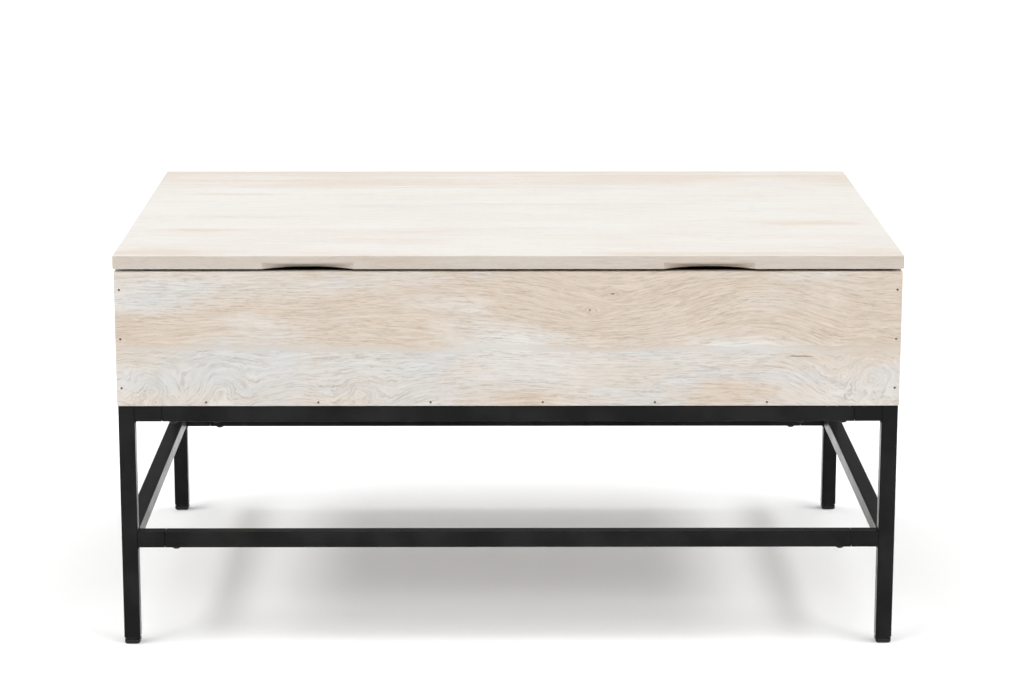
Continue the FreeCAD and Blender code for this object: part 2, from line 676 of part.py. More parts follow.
def make_lid_brackets():
    """Angle brackets under the cleats, with the pins that the arms turn on."""
    body = doc.addObject("PartDesign::Body", "LidBracket")
    low, high, thin = "bracket_low", "cleat_low", "bracket_thickness"
    points = [("0", low), (thin, low), (thin, f"{high} - {thin}"), ("bracket_flange", f"{high} - {thin}"),
              ("bracket_flange", high), ("0", high)]
    pad(body, outline(body, "XZ_Plane", points), "bracket_rear - bracket_front")
    doc.recompute()
    fillet(body, edges_between(body.Shape, [("-x", "+z")]), "bracket_bend")
    fillet(body, edges_between(body.Shape, [("-y", "-z"), ("+y", "-z")]), "bracket_corner")
    pivots = [("rear_lid_y", "rear_lid_z"), ("front_lid_y", "front_lid_z")]
    radius = "pivot_radius + fixed_play"
    holes = [(f"{y} - bracket_rear", z, radius) for y, z in pivots]
    pocket_through(body, circles(body, "YZ_Plane", holes))
    place(body, "-wall_x + bracket_out", "bracket_rear", "0")
    left = node("left_lid_bracket", cut("left_lid_bracket", body, holes_for["bracket"]))
    node("right_lid_bracket", mirrored("right_lid_bracket", left))
    node("bracket_screws", copies("bracket_screws", screws["bracket"], bracket_screw_places()))

    shank = "bracket_in - arm_out + side_play"
    pin = screw("LidPivot", "pivot_radius", shank, "pin_head_radius", "pin_head_height")
    peened = cylinder("PeenedEnd", "rivet_radius", "rivet_height", shank)
    rivet = fused("LidRivet", [pin, peened])
    spots = [spot for y, z in pivots for spot in both_sides("arm_out - side_play", y, z, "+X")]
    node("lid_pivot_pins", copies("lid_pivot_pins", rivet, spots))
    rings = [spot for y, z in pivots for spot in both_sides("head_face", y, z, "+X")]
    node("lid_pivot_washers", copies("lid_pivot_washers", washer, rings))


def bracket_screw_places():
    return [(sx + "bracket_screw_x", f"bracket_mid + {step} * bracket_screw_step",
             "cleat_low - bracket_thickness", "+Z") for sx in SIDES.values() for step in (-1, 0, 1)]


def cleat_screw_places():
    return [(sx + "(cleat_outer - cleat_width / 2)", f"{step} * cleat_screw_step", "cleat_low", "+Z")
            for sx in SIDES.values() for step in (-2, -1, 0, 2)]


def make_lid():
    """Edge-glued boards with two finger pulls in the front one, held flat by two cleats."""
    holes = compound("LidHoles", [holes_for["cleat"], holes_for["bracket"]])
    pull = cylinder("Pull", "pull_radius", "pull_height")
    pulls = copies("Pulls", pull, [
        (sx + "pull_spacing / 2", "-lid_half_y + pull_depth - pull_radius", "lid_low", "+Z")
        for sx in SIDES.values()])
    front_tools = compound("FrontBoardTools", [holes, pulls])
    front = f"-lid_half_y + lid_depth / {BOARD_COUNT}"
    for i in range(BOARD_COUNT):
        name = f"lid_board_{i + 1}"
        rounded = [(x, z) for x in ("-x", "+x") for z in ("-z", "+z")]
        outer = {0: "-y", BOARD_COUNT - 1: "+y"}.get(i)
        if outer:
            rounded += [(outer, side) for side in ("-z", "+z", "-x", "+x")]
        board = slab(f"LidBoard{i + 1}", ("-lid_half_x", f"{front} * {i}", "lid_low"),
                     ("lid_half_x", f"{front} * {i + 1}", "lid_low + lid_thickness"), rounded)
        node(name, cut(name, board, front_tools if i == 0 else holes))
    cleat = slab("Cleat", ("-cleat_outer", "-cleat_half", "cleat_low"),
                 ("-cleat_outer + cleat_width", "cleat_half", "lid_low"),
                 [(x, "-z") for x in ("-x", "+x")] + [(y, "-z") for y in ("-y", "+y")])
    left = node("left_lid_cleat", cut("left_lid_cleat", cleat, holes))
    node("right_lid_cleat", mirrored("right_lid_cleat", left))
    node("cleat_screws", copies("cleat_screws", screws["cleat"], cleat_screw_places()))


def make_springs():
    """Extension springs from the tails of the rear arms to the anchors on the plates."""
    helix = doc.addObject("Part::Helix", "CoilPath")
    helix.SegmentLength = 1
    bind(helix, "Radius", "coil_radius")
    bind(helix, "Height", "coil_length")
    bind(helix, "Pitch", "coil_length / spring_turns")
    wire = doc.addObject("Part::Circle", "WireSection")
    bind(wire, "Radius", "wire_radius")
    wire.Placement = FreeCAD.Placement(V(0, 0, 0), FreeCAD.Rotation(V(1, 0, 0), 90))
    place(wire, "coil_radius", "0", "0")
    doc.recompute()
    coil = doc.addObject("Part::Sweep", "Coil")
    coil.Sections = [wire]
    coil.Spine = (helix, [f"Edge{i + 1}" for i in range(len(helix.Shape.Edges))])
    coil.Solid = True
    coil.Frenet = True
    pieces = [coil]
    ends = (("0", "-coil_radius", "hook_shift"),
            ("coil_length", "coil_length + coil_radius", "-hook_shift"))
    for level, centre, shift in ends:
        loop = doc.addObject("Part::Torus", "Loop")
        bind(loop, "Radius1", "coil_radius")
        bind(loop, "Radius2", "wire_radius")
        loop.Placement = FreeCAD.Placement(V(0, 0, 0), FreeCAD.Rotation(V(0, 1, 0), 90))
        place(loop, "0", "0", centre)
        # The bent-in end of the wire, a little slimmer and set into the coil so that they join.
        bridge = cylinder("Bridge", "hook_wire", "coil_radius")
        bridge.Placement = FreeCAD.Placement(V(0, 0, 0), FreeCAD.Rotation(V(0, 1, 0), 90))
        place(bridge, "0", shift, level)
        pieces += [loop, bridge]
    spring = fused("Spring", pieces)
    turn = "atan2(spring_run_y; spring_run_z)"
    turn_about_x(spring, turn)
    place(spring, "-wall_x + spring_out", f"anchor_y - hook_offset * sin({turn})",
          f"anchor_z + hook_offset * cos({turn})")
    node("left_lift_spring", spring)
    node("right_lift_spring", mirrored("right_lift_spring", spring))


def check_and_export():
    """Refuse a failed object or a broken shape, then write one STEP file per sub-part."""
    doc.recompute()
    failed = [item.Name for item in doc.Objects if {"Invalid", "Error"} & set(item.State)]
    if failed:
        raise ValueError("failed objects: " + ", ".join(failed))
    for name, item in nodes.items():
        shape = item.Shape
        if shape.isNull() or not shape.isValid() or not shape.Solids:
            raise ValueError("bad shape: " + name)
    os.makedirs("parts", exist_ok=True)
    for name, item in nodes.items():
        item.Shape.exportStep("parts/" + name + ".step")
    print(len(nodes), "sub-parts,", sum(len(item.Shape.Solids) for item in nodes.values()), "solids")


fill_sheet()
washer = cut("Washer", cylinder("WasherDisc", "washer_radius", "washer_thickness"),
             cylinder("WasherBore", "pivot_radius + fixed_play", "washer_thickness"))
WOOD_SCREWS = {
    "box": ("tube_side + box_screw_bite", box_screw_places()),
    "plate": ("(plate_thickness + plate_screw_bite)", plate_screw_places()),
    "cleat": ("(cleat_thickness + cleat_screw_bite)", cleat_screw_places()),
    "bracket": ("(bracket_thickness + cleat_thickness + cleat_screw_bite)", bracket_screw_places()),
}
screws = {}
holes_for = {}
for kind, (length, spots) in WOOD_SCREWS.items():
    title = kind.capitalize() + "Screw"
    screws[kind] = screw(title, "screw_radius", length, "screw_head_radius", "screw_head_height")
    holes_for[kind] = copies(title + "Holes", screw_hole(title + "Hole", "screw_radius", length), spots)

make_legs()
make_side_rails()
make_cross_rails()
make_welds()
node("box_screws", copies("box_screws", screws["box"], box_screw_places()))
make_box()
make_base_plates()
make_arms()
make_lid_brackets()
make_lid()
make_springs()
check_and_export()
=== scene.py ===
"""Lift top coffee table: whitewashed boards on a black steel base, with sprung lift fittings.

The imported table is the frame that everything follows. Boards, nails, bolts, welds, glides and springs
are built here as finer meshes round it, and the tubes and sheet parts get their finish.
"""
import json
import math

import bmesh
import bpy
import numpy as np
from mathutils import Matrix, Vector


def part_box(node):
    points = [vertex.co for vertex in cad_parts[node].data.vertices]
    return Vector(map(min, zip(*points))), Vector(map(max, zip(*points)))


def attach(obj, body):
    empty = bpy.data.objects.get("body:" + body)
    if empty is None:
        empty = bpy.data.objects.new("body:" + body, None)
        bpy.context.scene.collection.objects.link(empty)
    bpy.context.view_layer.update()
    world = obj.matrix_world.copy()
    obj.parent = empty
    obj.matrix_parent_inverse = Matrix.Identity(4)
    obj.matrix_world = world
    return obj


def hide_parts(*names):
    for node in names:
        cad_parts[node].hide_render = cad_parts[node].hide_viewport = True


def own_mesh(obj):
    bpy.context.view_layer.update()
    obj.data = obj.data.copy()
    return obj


bl_info = {
    "name": "Lift Top Coffee Table",
    "version": (1, 0, 0),
    "blender": (4, 5, 0),
    "location": "3D View > Sidebar > Coffee Table",
    "description": "Whitewashed boards, black tube base and lift fittings for the packed coffee table",
    "category": "Object",
}

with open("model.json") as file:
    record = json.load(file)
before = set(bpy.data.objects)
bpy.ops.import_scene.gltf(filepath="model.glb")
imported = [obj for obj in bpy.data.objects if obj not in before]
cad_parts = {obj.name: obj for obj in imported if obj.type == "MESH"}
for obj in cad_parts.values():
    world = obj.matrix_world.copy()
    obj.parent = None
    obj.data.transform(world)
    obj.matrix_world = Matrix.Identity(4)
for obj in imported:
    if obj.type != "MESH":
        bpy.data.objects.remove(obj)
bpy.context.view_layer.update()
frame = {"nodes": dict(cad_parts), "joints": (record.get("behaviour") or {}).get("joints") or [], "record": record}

MM = 0.001
TURN = 2 * math.pi
WELD_DISTANCE = 0.002 * MM
SIDES = ("left", "right")
BOARDS = [name for name in frame["nodes"] if name.startswith("lid_board")]
SUBPARTS = frame["record"]["subparts"]
# The moving body that each node belongs to.
BODIES = {node: body
          for body, members in frame["record"]["behaviour"]["bodies"].items()
          for node in members}
FLAT_ANGLE = math.radians(0.5)
EDGE_ANGLE = math.radians(30)


# ---------------------------------------------------------------- settings

def length(name, description, value, low=0.0, high=10.0):
    """A length that a user may change, given in millimetres and kept in metres."""
    return bpy.props.FloatProperty(name=name, description=description, default=value * MM,
                                   min=low, max=high, unit="LENGTH", precision=5)


def share(name, description, value):
    """A share from 0 to 1."""
    return bpy.props.FloatProperty(name=name, description=description, default=value,
                                   min=0.0, max=1.0, subtype="FACTOR")


def colour(name, description, value):
    """A colour as red, green and blue from 0 to 1."""
    return bpy.props.FloatVectorProperty(name=name, description=description, default=value,
                                         size=3, min=0.0, max=1.0, subtype="COLOR")


def angle(name, description, value):
    """An angle given in degrees."""
    return bpy.props.FloatProperty(name=name, description=description, default=math.radians(value),
                                   min=0.0, max=math.pi / 2, subtype="ANGLE")


class TableWoodSettings(bpy.types.PropertyGroup):
    """Boards and panels."""
    edge_ease: length("Eased edge", "Radius of the sanded outer edges of boards and panels", 1.2)
    joint_ease: length("Joint ease", "Radius of the edges along the glued joints of the lid", 0.35)
    line_step: length("Line step", "Distance between the mesh lines along a board", 6)
    sanding: length("Sanding waves", "Depth of the shallow waves left by sanding", 0.12)
    pull_depth: length("Pull depth", "How far each finger pull goes into the lid", 17)
    pull_width: length("Pull width", "Width of each finger pull at the lid's edge", 106)
    pull_height: length("Pull height", "Height of each finger pull above the lid's underside", 6.2)
    pull_spacing: length("Pull spacing", "Distance between the middles of the two pulls", 465)
    nail_head: length("Nail head", "Radius of the finishing nails' heads", 1.15)
    nail_sink: length("Nail sink", "How far the nail heads are set below the wood", 0.5)
    warm: colour("Warm wood", "Bare beige of the mango wood", (0.575, 0.485, 0.40))
    pale: colour("Pale wood", "Lightly washed wood", (0.605, 0.545, 0.48))
    wash: colour("Whitewash", "Where the white wash is thickest", (0.635, 0.615, 0.585))
    cool: colour("Cool wash", "Blue-grey tint of the wash over dark grain", (0.565, 0.562, 0.55))
    # The pores' colour also serves as the painted shade in hollows and along the pulls' lips.
    pore: colour("Pores", "Dark fill of the open pores", (0.33, 0.25, 0.19))


class TableSteelSettings(bpy.types.PropertyGroup):
    """Base, bolts and glides."""
    coat: colour("Powder coat", "Black powder coat of the tubes", (0.0148, 0.0148, 0.0148))
    coat_roughness: share("Coat roughness", "Roughness of the powder coat", 0.32)
    tube_ease: length("Tube edge", "Rounded edge of the cross rails and stubs", 0.45)
    # The specks along the tubes' upper edges are painted glints.
    glint_cover: share("Specks", "How many wash specks lie along the tubes' upper edges", 0.35)
    weld_ripple: length("Weld ripple", "Height of the ripples on the weld beads", 0.16)
    weld_radius: length("Weld radius", "Hollow of the weld beads", 3.5)
    socket_width: length("Socket width", "Across the flats of the bolts' hexagon sockets", 4)
    glide_groove: length("Glide groove", "Depth of the groove between a glide and its leg", 1.9)


class TableFittingSettings(bpy.types.PropertyGroup):
    """Lift fittings and their fasteners."""
    sheet_ease: length("Sheet edge", "Rolled edge of the pressed steel parts", 0.35)
    plated: colour("Zinc", "Colour of the zinc plating", (0.62, 0.625, 0.62))
    wire_radius: length("Wire radius", "Radius of the spring wire", 0.8)
    coil_radius: length("Coil radius", "Mean radius of the spring's coil and hooks", 5)
    coil_turns: bpy.props.IntProperty(name="Coil turns", description="Turns of each spring",
                                      default=45, min=3, max=200)


class TableStageSettings(bpy.types.PropertyGroup):
    """Floor, light and camera."""
    floor_size: length("Floor size", "Side of the square floor", 40000, high=200.0)
    floor_tone: share("Floor tone", "How pale the floor is", 0.965)
    sky_strength: bpy.props.FloatProperty(name="Sky strength", description="White light from all round",
                                          default=1.12, min=0.0, max=10.0)
    dark_ends: share("Dark ends", "How much the sky is dimmed low in front and behind", 0.63)
    strip_strength: bpy.props.FloatProperty(name="Strip lights",
                                            description="Strength of the two strip lights overhead",
                                            default=7.2, min=0.0, max=100.0)
    strip_lean: angle("Strip lean", "How far each strip light leans from overhead to its side", 38)
    strip_width: angle("Strip width", "Half the width of a strip light seen from the table", 6)
    strip_front: angle("Strip front", "How far the strips' middle leans from overhead to the front", 15)
    strip_reach: angle("Strip reach", "Half the length of a strip light seen from the table", 23)
    lens: bpy.props.FloatProperty(name="Lens", description="Focal length of the camera in millimetres",
                                  default=105.5, min=10.0, max=300.0)
    camera_place: bpy.props.FloatVectorProperty(
        name="Camera place", description="Where the camera stands, from the floor under the table's middle",
        default=(-0.0241, -3.712, 1.119), size=3, subtype="TRANSLATION")
    camera_turn: bpy.props.FloatVectorProperty(
        name="Camera turn", description="Tilt down, pan to the right and roll of the camera",
        default=(math.radians(12.408), math.radians(0.472), math.radians(0.068)), size=3,
        subtype="EULER")


class TableSettings(bpy.types.PropertyGroup):
    """All sizes and colours of the table's looks."""
    wood: bpy.props.PointerProperty(type=TableWoodSettings)
    steel: bpy.props.PointerProperty(type=TableSteelSettings)
    fitting: bpy.props.PointerProperty(type=TableFittingSettings)
    stage: bpy.props.PointerProperty(type=TableStageSettings)


# ---------------------------------------------------------------- surfaces

def smooth(value):
    """0 below 0, 1 above 1 and the cubic 3t^2 - 2t^3 between."""
    t = np.clip(value, 0.0, 1.0)
    return t * t * (3 - 2 * t)


def wander(position, seed, wave):
    """Unevenness from -1 to 1: the mean of five sine waves, with seeded lengths about wave and phases."""
    random = np.random.default_rng(seed)
    lengths = wave * random.uniform(0.45, 1.7, 5)
    phases = random.uniform(0, TURN, 5)
    return np.sin(np.asarray(position)[..., None] * TURN / lengths + phases).mean(-1)


def lattice(rings, around):
    """Quads that join each ring of points to the next, all the way round."""
    i, j = np.meshgrid(np.arange(rings - 1) * around, np.arange(around), indexing="ij")
    k = (j + 1) % around
    return np.stack([i + j, i + k, i + around + k, i + around + j], -1).reshape(-1, 4)


def skin(points):
    """A closed solid from rings of points: the lattice between them and a flat cap on each end."""
    rings, around = points.shape[:2]
    faces = lattice(rings, around).tolist()
    faces.append(list(range(around)))
    faces.append(list(range((rings - 1) * around, rings * around)))
    return points.reshape(-1, 3), faces


def outline(corners, sides, steps=4):
    """Closed outlines for all stations at once. Each corner is its centre (a, b), its radius and the
    angles where its arc starts and ends: its points are the centre plus the radius at evenly spaced
    angles. The side after it has points at the given shares of the way to the next corner's arc."""
    turns = np.linspace(0, 1, steps + 1)
    arcs = []
    for a, b, radius, first, last in corners:
        angle = np.radians(first + (last - first) * turns)
        a, b, radius = (np.asarray(value, float).reshape(-1, 1) for value in (a, b, radius))
        arcs.append((a + radius * np.cos(angle), b + radius * np.sin(angle)))
    stations = max(len(a) for a, b in arcs)
    arcs = [tuple(np.broadcast_to(value, (stations, steps + 1)) for value in arc) for arc in arcs]
    columns = []
    for k, arc in enumerate(arcs):
        following = arcs[(k + 1) % len(arcs)]
        way = np.asarray(sides[k], float)
        side = [end[:, -1:] + (start[:, :1] - end[:, -1:]) * way for end, start in zip(arc, following)]
        columns.append([np.concatenate(pair, 1) for pair in zip(arc, side)])
    return [np.concatenate([column[n] for column in columns], 1) for n in (0, 1)]


def end_stations(low, high, ease, inner):
    """Stations along a board and how far each section is drawn in: near an end, a quarter circle of
    the ease's radius, and nothing between."""
    angle = np.radians(np.linspace(0, 90, 6))
    near = ease * (1 - np.cos(angle))
    drawn = ease * (1 - np.sin(angle))
    inner = inner[(inner > low + 1.2 * ease) & (inner < high - 1.2 * ease)]
    place = np.concatenate([low + near, inner, high - near[::-1]])
    inset = np.concatenate([drawn, np.zeros(len(inner)), drawn[::-1]])
    return place, inset


def lines(low, high, step, near=(), fine=()):
    """Sorted positions between low and high: one every step, and fine ones round each place in near."""
    count = max(2, int(round((high - low) / step)) + 1)
    even = np.linspace(low, high, count)
    extra = [place + side * np.asarray(fine) for place in near for side in (-1, 1)]
    kept = np.unique(np.round(np.concatenate([even, *extra]), 6))
    kept = kept[(kept > low) & (kept < high)]
    apart = np.concatenate([[True], np.diff(kept) > 0.12 * MM])
    return kept[apart]


def hollows(across, up, marks):
    """Depth of the marks on a face: each is (across, up, half width, half height, depth), an ellipse
    with a flat bottom whose wall falls over the outer third."""
    depth = np.zeros_like(across)
    for centre, level, half_width, half_height, sink in marks:
        reach = np.hypot((across - centre) / half_width, (up - level) / half_height)
        depth = np.maximum(depth, sink * smooth((1 - reach) / 0.33))
    return depth


def place_section(place, a, b, along):
    """Rings of points in space from stations and outlines: a is the other level axis, b is up."""
    stations = np.broadcast_to(place[:, None], a.shape)
    order = (stations, a, b) if along == "X" else (a, stations, b)
    return np.stack(order, -1)


def turned(profile, segments, figure=None):
    """A solid turned about Z from a profile of (radius, height, share): round where the share is 0,
    and where it is 1 its radius is multiplied by the figure, a function of the angle."""
    radius, height, shaped = (np.array(column)[:, None] for column in zip(*profile))
    angle = np.arange(segments) * TURN / segments
    factor = figure(angle) if figure else np.ones(segments)
    reach = radius * (1 + shaped * (factor - 1))
    up = np.broadcast_to(height, reach.shape)
    return skin(np.stack([reach * np.cos(angle), reach * np.sin(angle), up], -1))


def hexagon(angle):
    """Radius of a hexagon over the radius of its inner circle: one over the cosine from the flat."""
    sixth = TURN / 6
    return 1 / np.cos((angle + sixth / 2) % sixth - sixth / 2)


def cross_recess(angle):
    """Radius of a cross with four narrow wings: a power of the cosine of twice the angle."""
    return 0.36 + 0.64 * np.cos(2 * angle) ** 8


def aimed(shape, spots):
    """The shape copied to each (place, direction), its own Z turned to the direction."""
    points, faces = shape
    copies = []
    for place, direction in spots:
        turn = np.array(Vector(direction).to_track_quat("Z", "Y").to_matrix())
        copies.append((points @ turn.T + np.array(place), faces))
    return copies


def wire(path, side, radius, segments=10):
    """Round wire along a path. Each ring lies across the path: its first direction is the side
    vector made square to the path, its second the cross product of the two."""
    ahead = np.gradient(path, axis=0)
    ahead /= np.linalg.norm(ahead, axis=1, keepdims=True)
    side = side - (side * ahead).sum(1, keepdims=True) * ahead
    side /= np.linalg.norm(side, axis=1, keepdims=True)
    other = np.cross(ahead, side)
    angle = np.arange(segments) * TURN / segments
    ring = np.cos(angle)[:, None] * side[:, None] + np.sin(angle)[:, None] * other[:, None]
    return skin(path[:, None] + radius * ring)


# ---------------------------------------------------------------- pieces

def clean(mesh, sharp_angle):
    """Weld the mesh's seams and poles, point its faces outwards and keep edges past the angle sharp."""
    bm = bmesh.new()
    bm.from_mesh(mesh)
    bmesh.ops.remove_doubles(bm, verts=bm.verts, dist=WELD_DISTANCE)
    bmesh.ops.dissolve_degenerate(bm, dist=WELD_DISTANCE / 4, edges=bm.edges)
    bmesh.ops.recalc_face_normals(bm, faces=bm.faces)
    bm.to_mesh(mesh)
    bm.free()
    mesh.shade_smooth()
    mesh.set_sharp_from_angle(angle=math.radians(sharp_angle))


def piece(name, shapes, body, material, stands_for, hollow=None, sharp_angle=35):
    """One finished piece from closed shapes, riding on a body in place of its CAD nodes."""
    starts = np.cumsum([0] + [len(points) for points, faces in shapes])
    points = np.concatenate([points for points, faces in shapes])
    faces = [[int(start) + corner for corner in face]
             for start, (_, loose) in zip(starts, shapes) for face in loose]
    mesh = bpy.data.meshes.new(name)
    mesh.from_pydata(points, [], faces)
    # The hollow values are painted shade: they draw the wood's colour towards the pore colour.
    if hollow is not None:
        mesh.attributes.new("hollow", "FLOAT", "POINT").data.foreach_set("value", hollow.ravel())
    clean(mesh, sharp_angle)
    return adopt(name, mesh, body, material, stands_for)


def adopt(name, mesh, body, material, stands_for):
    """Show a mesh as a piece of the table."""
    made = bpy.data.objects.new(name, mesh)
    bpy.context.scene.collection.objects.link(made)
    mesh.materials.clear()
    mesh.materials.append(material)
    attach(made, body)
    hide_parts(*stands_for)
    return made


def box_of(node):
    """Lowest and highest corner of a CAD node as arrays."""
    return [np.array(corner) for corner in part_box(node)]


def solids_of(node):
    """Boxes of the separate solids of a CAD node. Corners at the same place are one, and each takes
    the lowest label found along its edges until no label changes."""
    mesh = frame["nodes"][node].data
    points = np.empty(len(mesh.vertices) * 3, np.float32)
    mesh.vertices.foreach_get("co", points)
    mesh.calc_loop_triangles()
    corners = np.empty(len(mesh.loop_triangles) * 3, np.int32)
    mesh.loop_triangles.foreach_get("vertices", corners)
    points = points.reshape(-1, 3).astype(float)
    merged, same = np.unique(np.round(points / MM, 3), axis=0, return_inverse=True)
    triangles = same.ravel()[corners].reshape(-1, 3)
    edges = np.concatenate([triangles[:, [0, 1]], triangles[:, [1, 2]], triangles[:, [2, 0]]])
    label = np.arange(len(merged))
    while True:
        lowest = label.copy()
        np.minimum.at(lowest, edges[:, 0], label[edges[:, 1]])
        np.minimum.at(lowest, edges[:, 1], label[edges[:, 0]])
        lowest = lowest[lowest]
        if np.array_equal(lowest, label):
            break
        label = lowest
    parts = [merged[label == one] * MM for one in np.unique(label)]
    return [(part.min(0), part.max(0)) for part in parts]


def softened(node, body, material, width):
    """A CAD node's solid with its sharp edges rolled over: a merged copy, flat areas made one face,
    and a narrow bevel on each edge that turns more than the edge angle."""
    mesh = frame["nodes"][node].data.copy()
    mesh.name = node + "_finished"
    bm = bmesh.new()
    bm.from_mesh(mesh)
    bmesh.ops.remove_doubles(bm, verts=bm.verts, dist=WELD_DISTANCE)
    bmesh.ops.dissolve_limit(bm, angle_limit=FLAT_ANGLE, verts=bm.verts, edges=bm.edges)
    turning = [edge for edge in bm.edges
               if len(edge.link_faces) == 2 and edge.calc_face_angle(0) > EDGE_ANGLE]
    bmesh.ops.bevel(bm, geom=turning, offset=width, offset_type="OFFSET", segments=2, profile=0.5,
                    affect="EDGES", clamp_overlap=True)
    bm.to_mesh(mesh)
    bm.free()
    mesh.shade_smooth()
    flatten_shading(mesh)
    return adopt(node + "_finished", mesh, body, material, [node])


def flatten_shading(mesh):
    """Shade large flat faces flat and the narrow bevels between them round: the normal of each corner
    point is the mean of its faces' normals, weighted by their areas."""
    faces = len(mesh.polygons)
    areas, totals = np.empty(faces), np.empty(faces, np.int32)
    normals = np.empty(faces * 3)
    corners = np.empty(len(mesh.loops), np.int32)
    mesh.polygons.foreach_get("area", areas)
    mesh.polygons.foreach_get("loop_total", totals)
    mesh.polygons.foreach_get("normal", normals)
    mesh.loops.foreach_get("vertex_index", corners)
    pull = np.repeat(normals.reshape(-1, 3) * areas[:, None], totals, axis=0)
    summed = np.zeros((len(mesh.vertices), 3))
    np.add.at(summed, corners, pull)
    summed /= np.maximum(np.linalg.norm(summed, axis=1, keepdims=True), 1e-12)
    mesh.normals_split_custom_set_from_vertices(summed)


# ---------------------------------------------------------------- shader groups

class Wiring:
    """Adds nodes to a shader tree. Inputs may be plain values or sockets of other nodes."""

    def __init__(self, tree):
        self.tree = tree

    def add(self, kind, *inputs, **settings):
        """Add a node: settings go on the node, inputs to its sockets in order, None skips one."""
        node = self.tree.nodes.new("ShaderNode" + kind)
        for name, value in settings.items():
            setattr(node, name, value)
        for socket, value in zip(node.inputs, inputs):
            self.put(socket, value)
        return node

    def put(self, socket, value):
        """Link a socket, or set its value; None leaves it."""
        if isinstance(value, bpy.types.NodeSocket):
            self.tree.links.new(value, socket)
        elif value is not None:
            socket.default_value = value

    def maths(self, operation, first, second=None, third=None, clamp=False):
        """One sum of values."""
        return self.add("Math", first, second, third, operation=operation, use_clamp=clamp).outputs[0]

    def stretch(self, vector, scale):
        """A vector multiplied by another, part by part."""
        return self.add("VectorMath", vector, scale, operation="MULTIPLY").outputs[0]

    def noise(self, vector, scale, detail=2.0, roughness=0.5, distortion=0.0):
        """Noise from about 0.2 to 0.8, with the given number of cells per metre on each axis."""
        node = self.add("TexNoise", self.stretch(vector, scale))
        node.inputs["Scale"].default_value = 1.0
        node.inputs["Detail"].default_value = detail
        node.inputs["Roughness"].default_value = roughness
        node.inputs["Distortion"].default_value = distortion
        return node.outputs["Fac"]

    def span(self, value, low, high, low_out=0.0, high_out=1.0):
        """A smooth step from low_out at low to high_out at high."""
        node = self.add("MapRange", value, low, high, low_out, high_out, interpolation_type="SMOOTHSTEP")
        return node.outputs[0]

    def blend(self, factor, first, second, mode="MIX"):
        """A mix of two colours."""
        node = self.add("Mix", data_type="RGBA", blend_type=mode)
        self.put(node.inputs[0], factor)
        self.put(node.inputs[6], first)
        self.put(node.inputs[7], second)
        return node.outputs[2]

    def group(self, name, **inputs):
        """Place a shader group with its own values."""
        node = self.tree.nodes.new("ShaderNodeGroup")
        node.node_tree = bpy.data.node_groups[name]
        for socket, value in inputs.items():
            self.put(node.inputs[socket.replace("_", " ")], value)
        return node.outputs


def shader_group(name, inputs, outputs):
    """A new shader group with named sockets: each input is (name, kind, default)."""
    tree = bpy.data.node_groups.new(name, "ShaderNodeTree")
    for label, kind, value in inputs:
        socket = tree.interface.new_socket(label, in_out="INPUT", socket_type="NodeSocket" + kind)
        socket.default_value = value
    for label, kind in outputs:
        tree.interface.new_socket(label, in_out="OUTPUT", socket_type="NodeSocket" + kind)
    source = tree.nodes.new("NodeGroupInput")
    target = tree.nodes.new("NodeGroupOutput")
    return Wiring(tree), source.outputs, target.inputs


def rgba(value):
    """A colour with full cover added."""
    return (*value, 1.0)


def make_spot_group():
    """Nearness to a spot on a board's face: exp(-r^2), r the distance over the size, made ragged."""
    wiring, given, result = shader_group(
        "Soft spot", [("Vector", "Vector", (0, 0, 0)), ("Centre", "Vector", (0, 0, 0)),
                      ("Size", "Vector", (1, 1, 1))], [("Nearness", "Float")])
    away = wiring.add("VectorMath", given["Vector"], given["Centre"], operation="SUBTRACT").outputs[0]
    flat = wiring.stretch(away, (1, 1, 0))
    scaled = wiring.add("VectorMath", flat, given["Size"], operation="DIVIDE").outputs[0]
    reach = wiring.add("VectorMath", scaled, operation="LENGTH").outputs["Value"]
    ragged = wiring.maths("SUBTRACT", wiring.noise(given["Vector"], (14.0, 30.0, 30.0), 3.0, 0.6), 0.5)
    reach = wiring.maths("ADD", reach, wiring.maths("MULTIPLY", ragged, 1.4))
    reach = wiring.maths("MAXIMUM", reach, 0.0)
    fall = wiring.maths("MULTIPLY", wiring.maths("MULTIPLY", reach, reach), -1.0)
    wiring.put(result["Nearness"], wiring.maths("EXPONENT", fall))


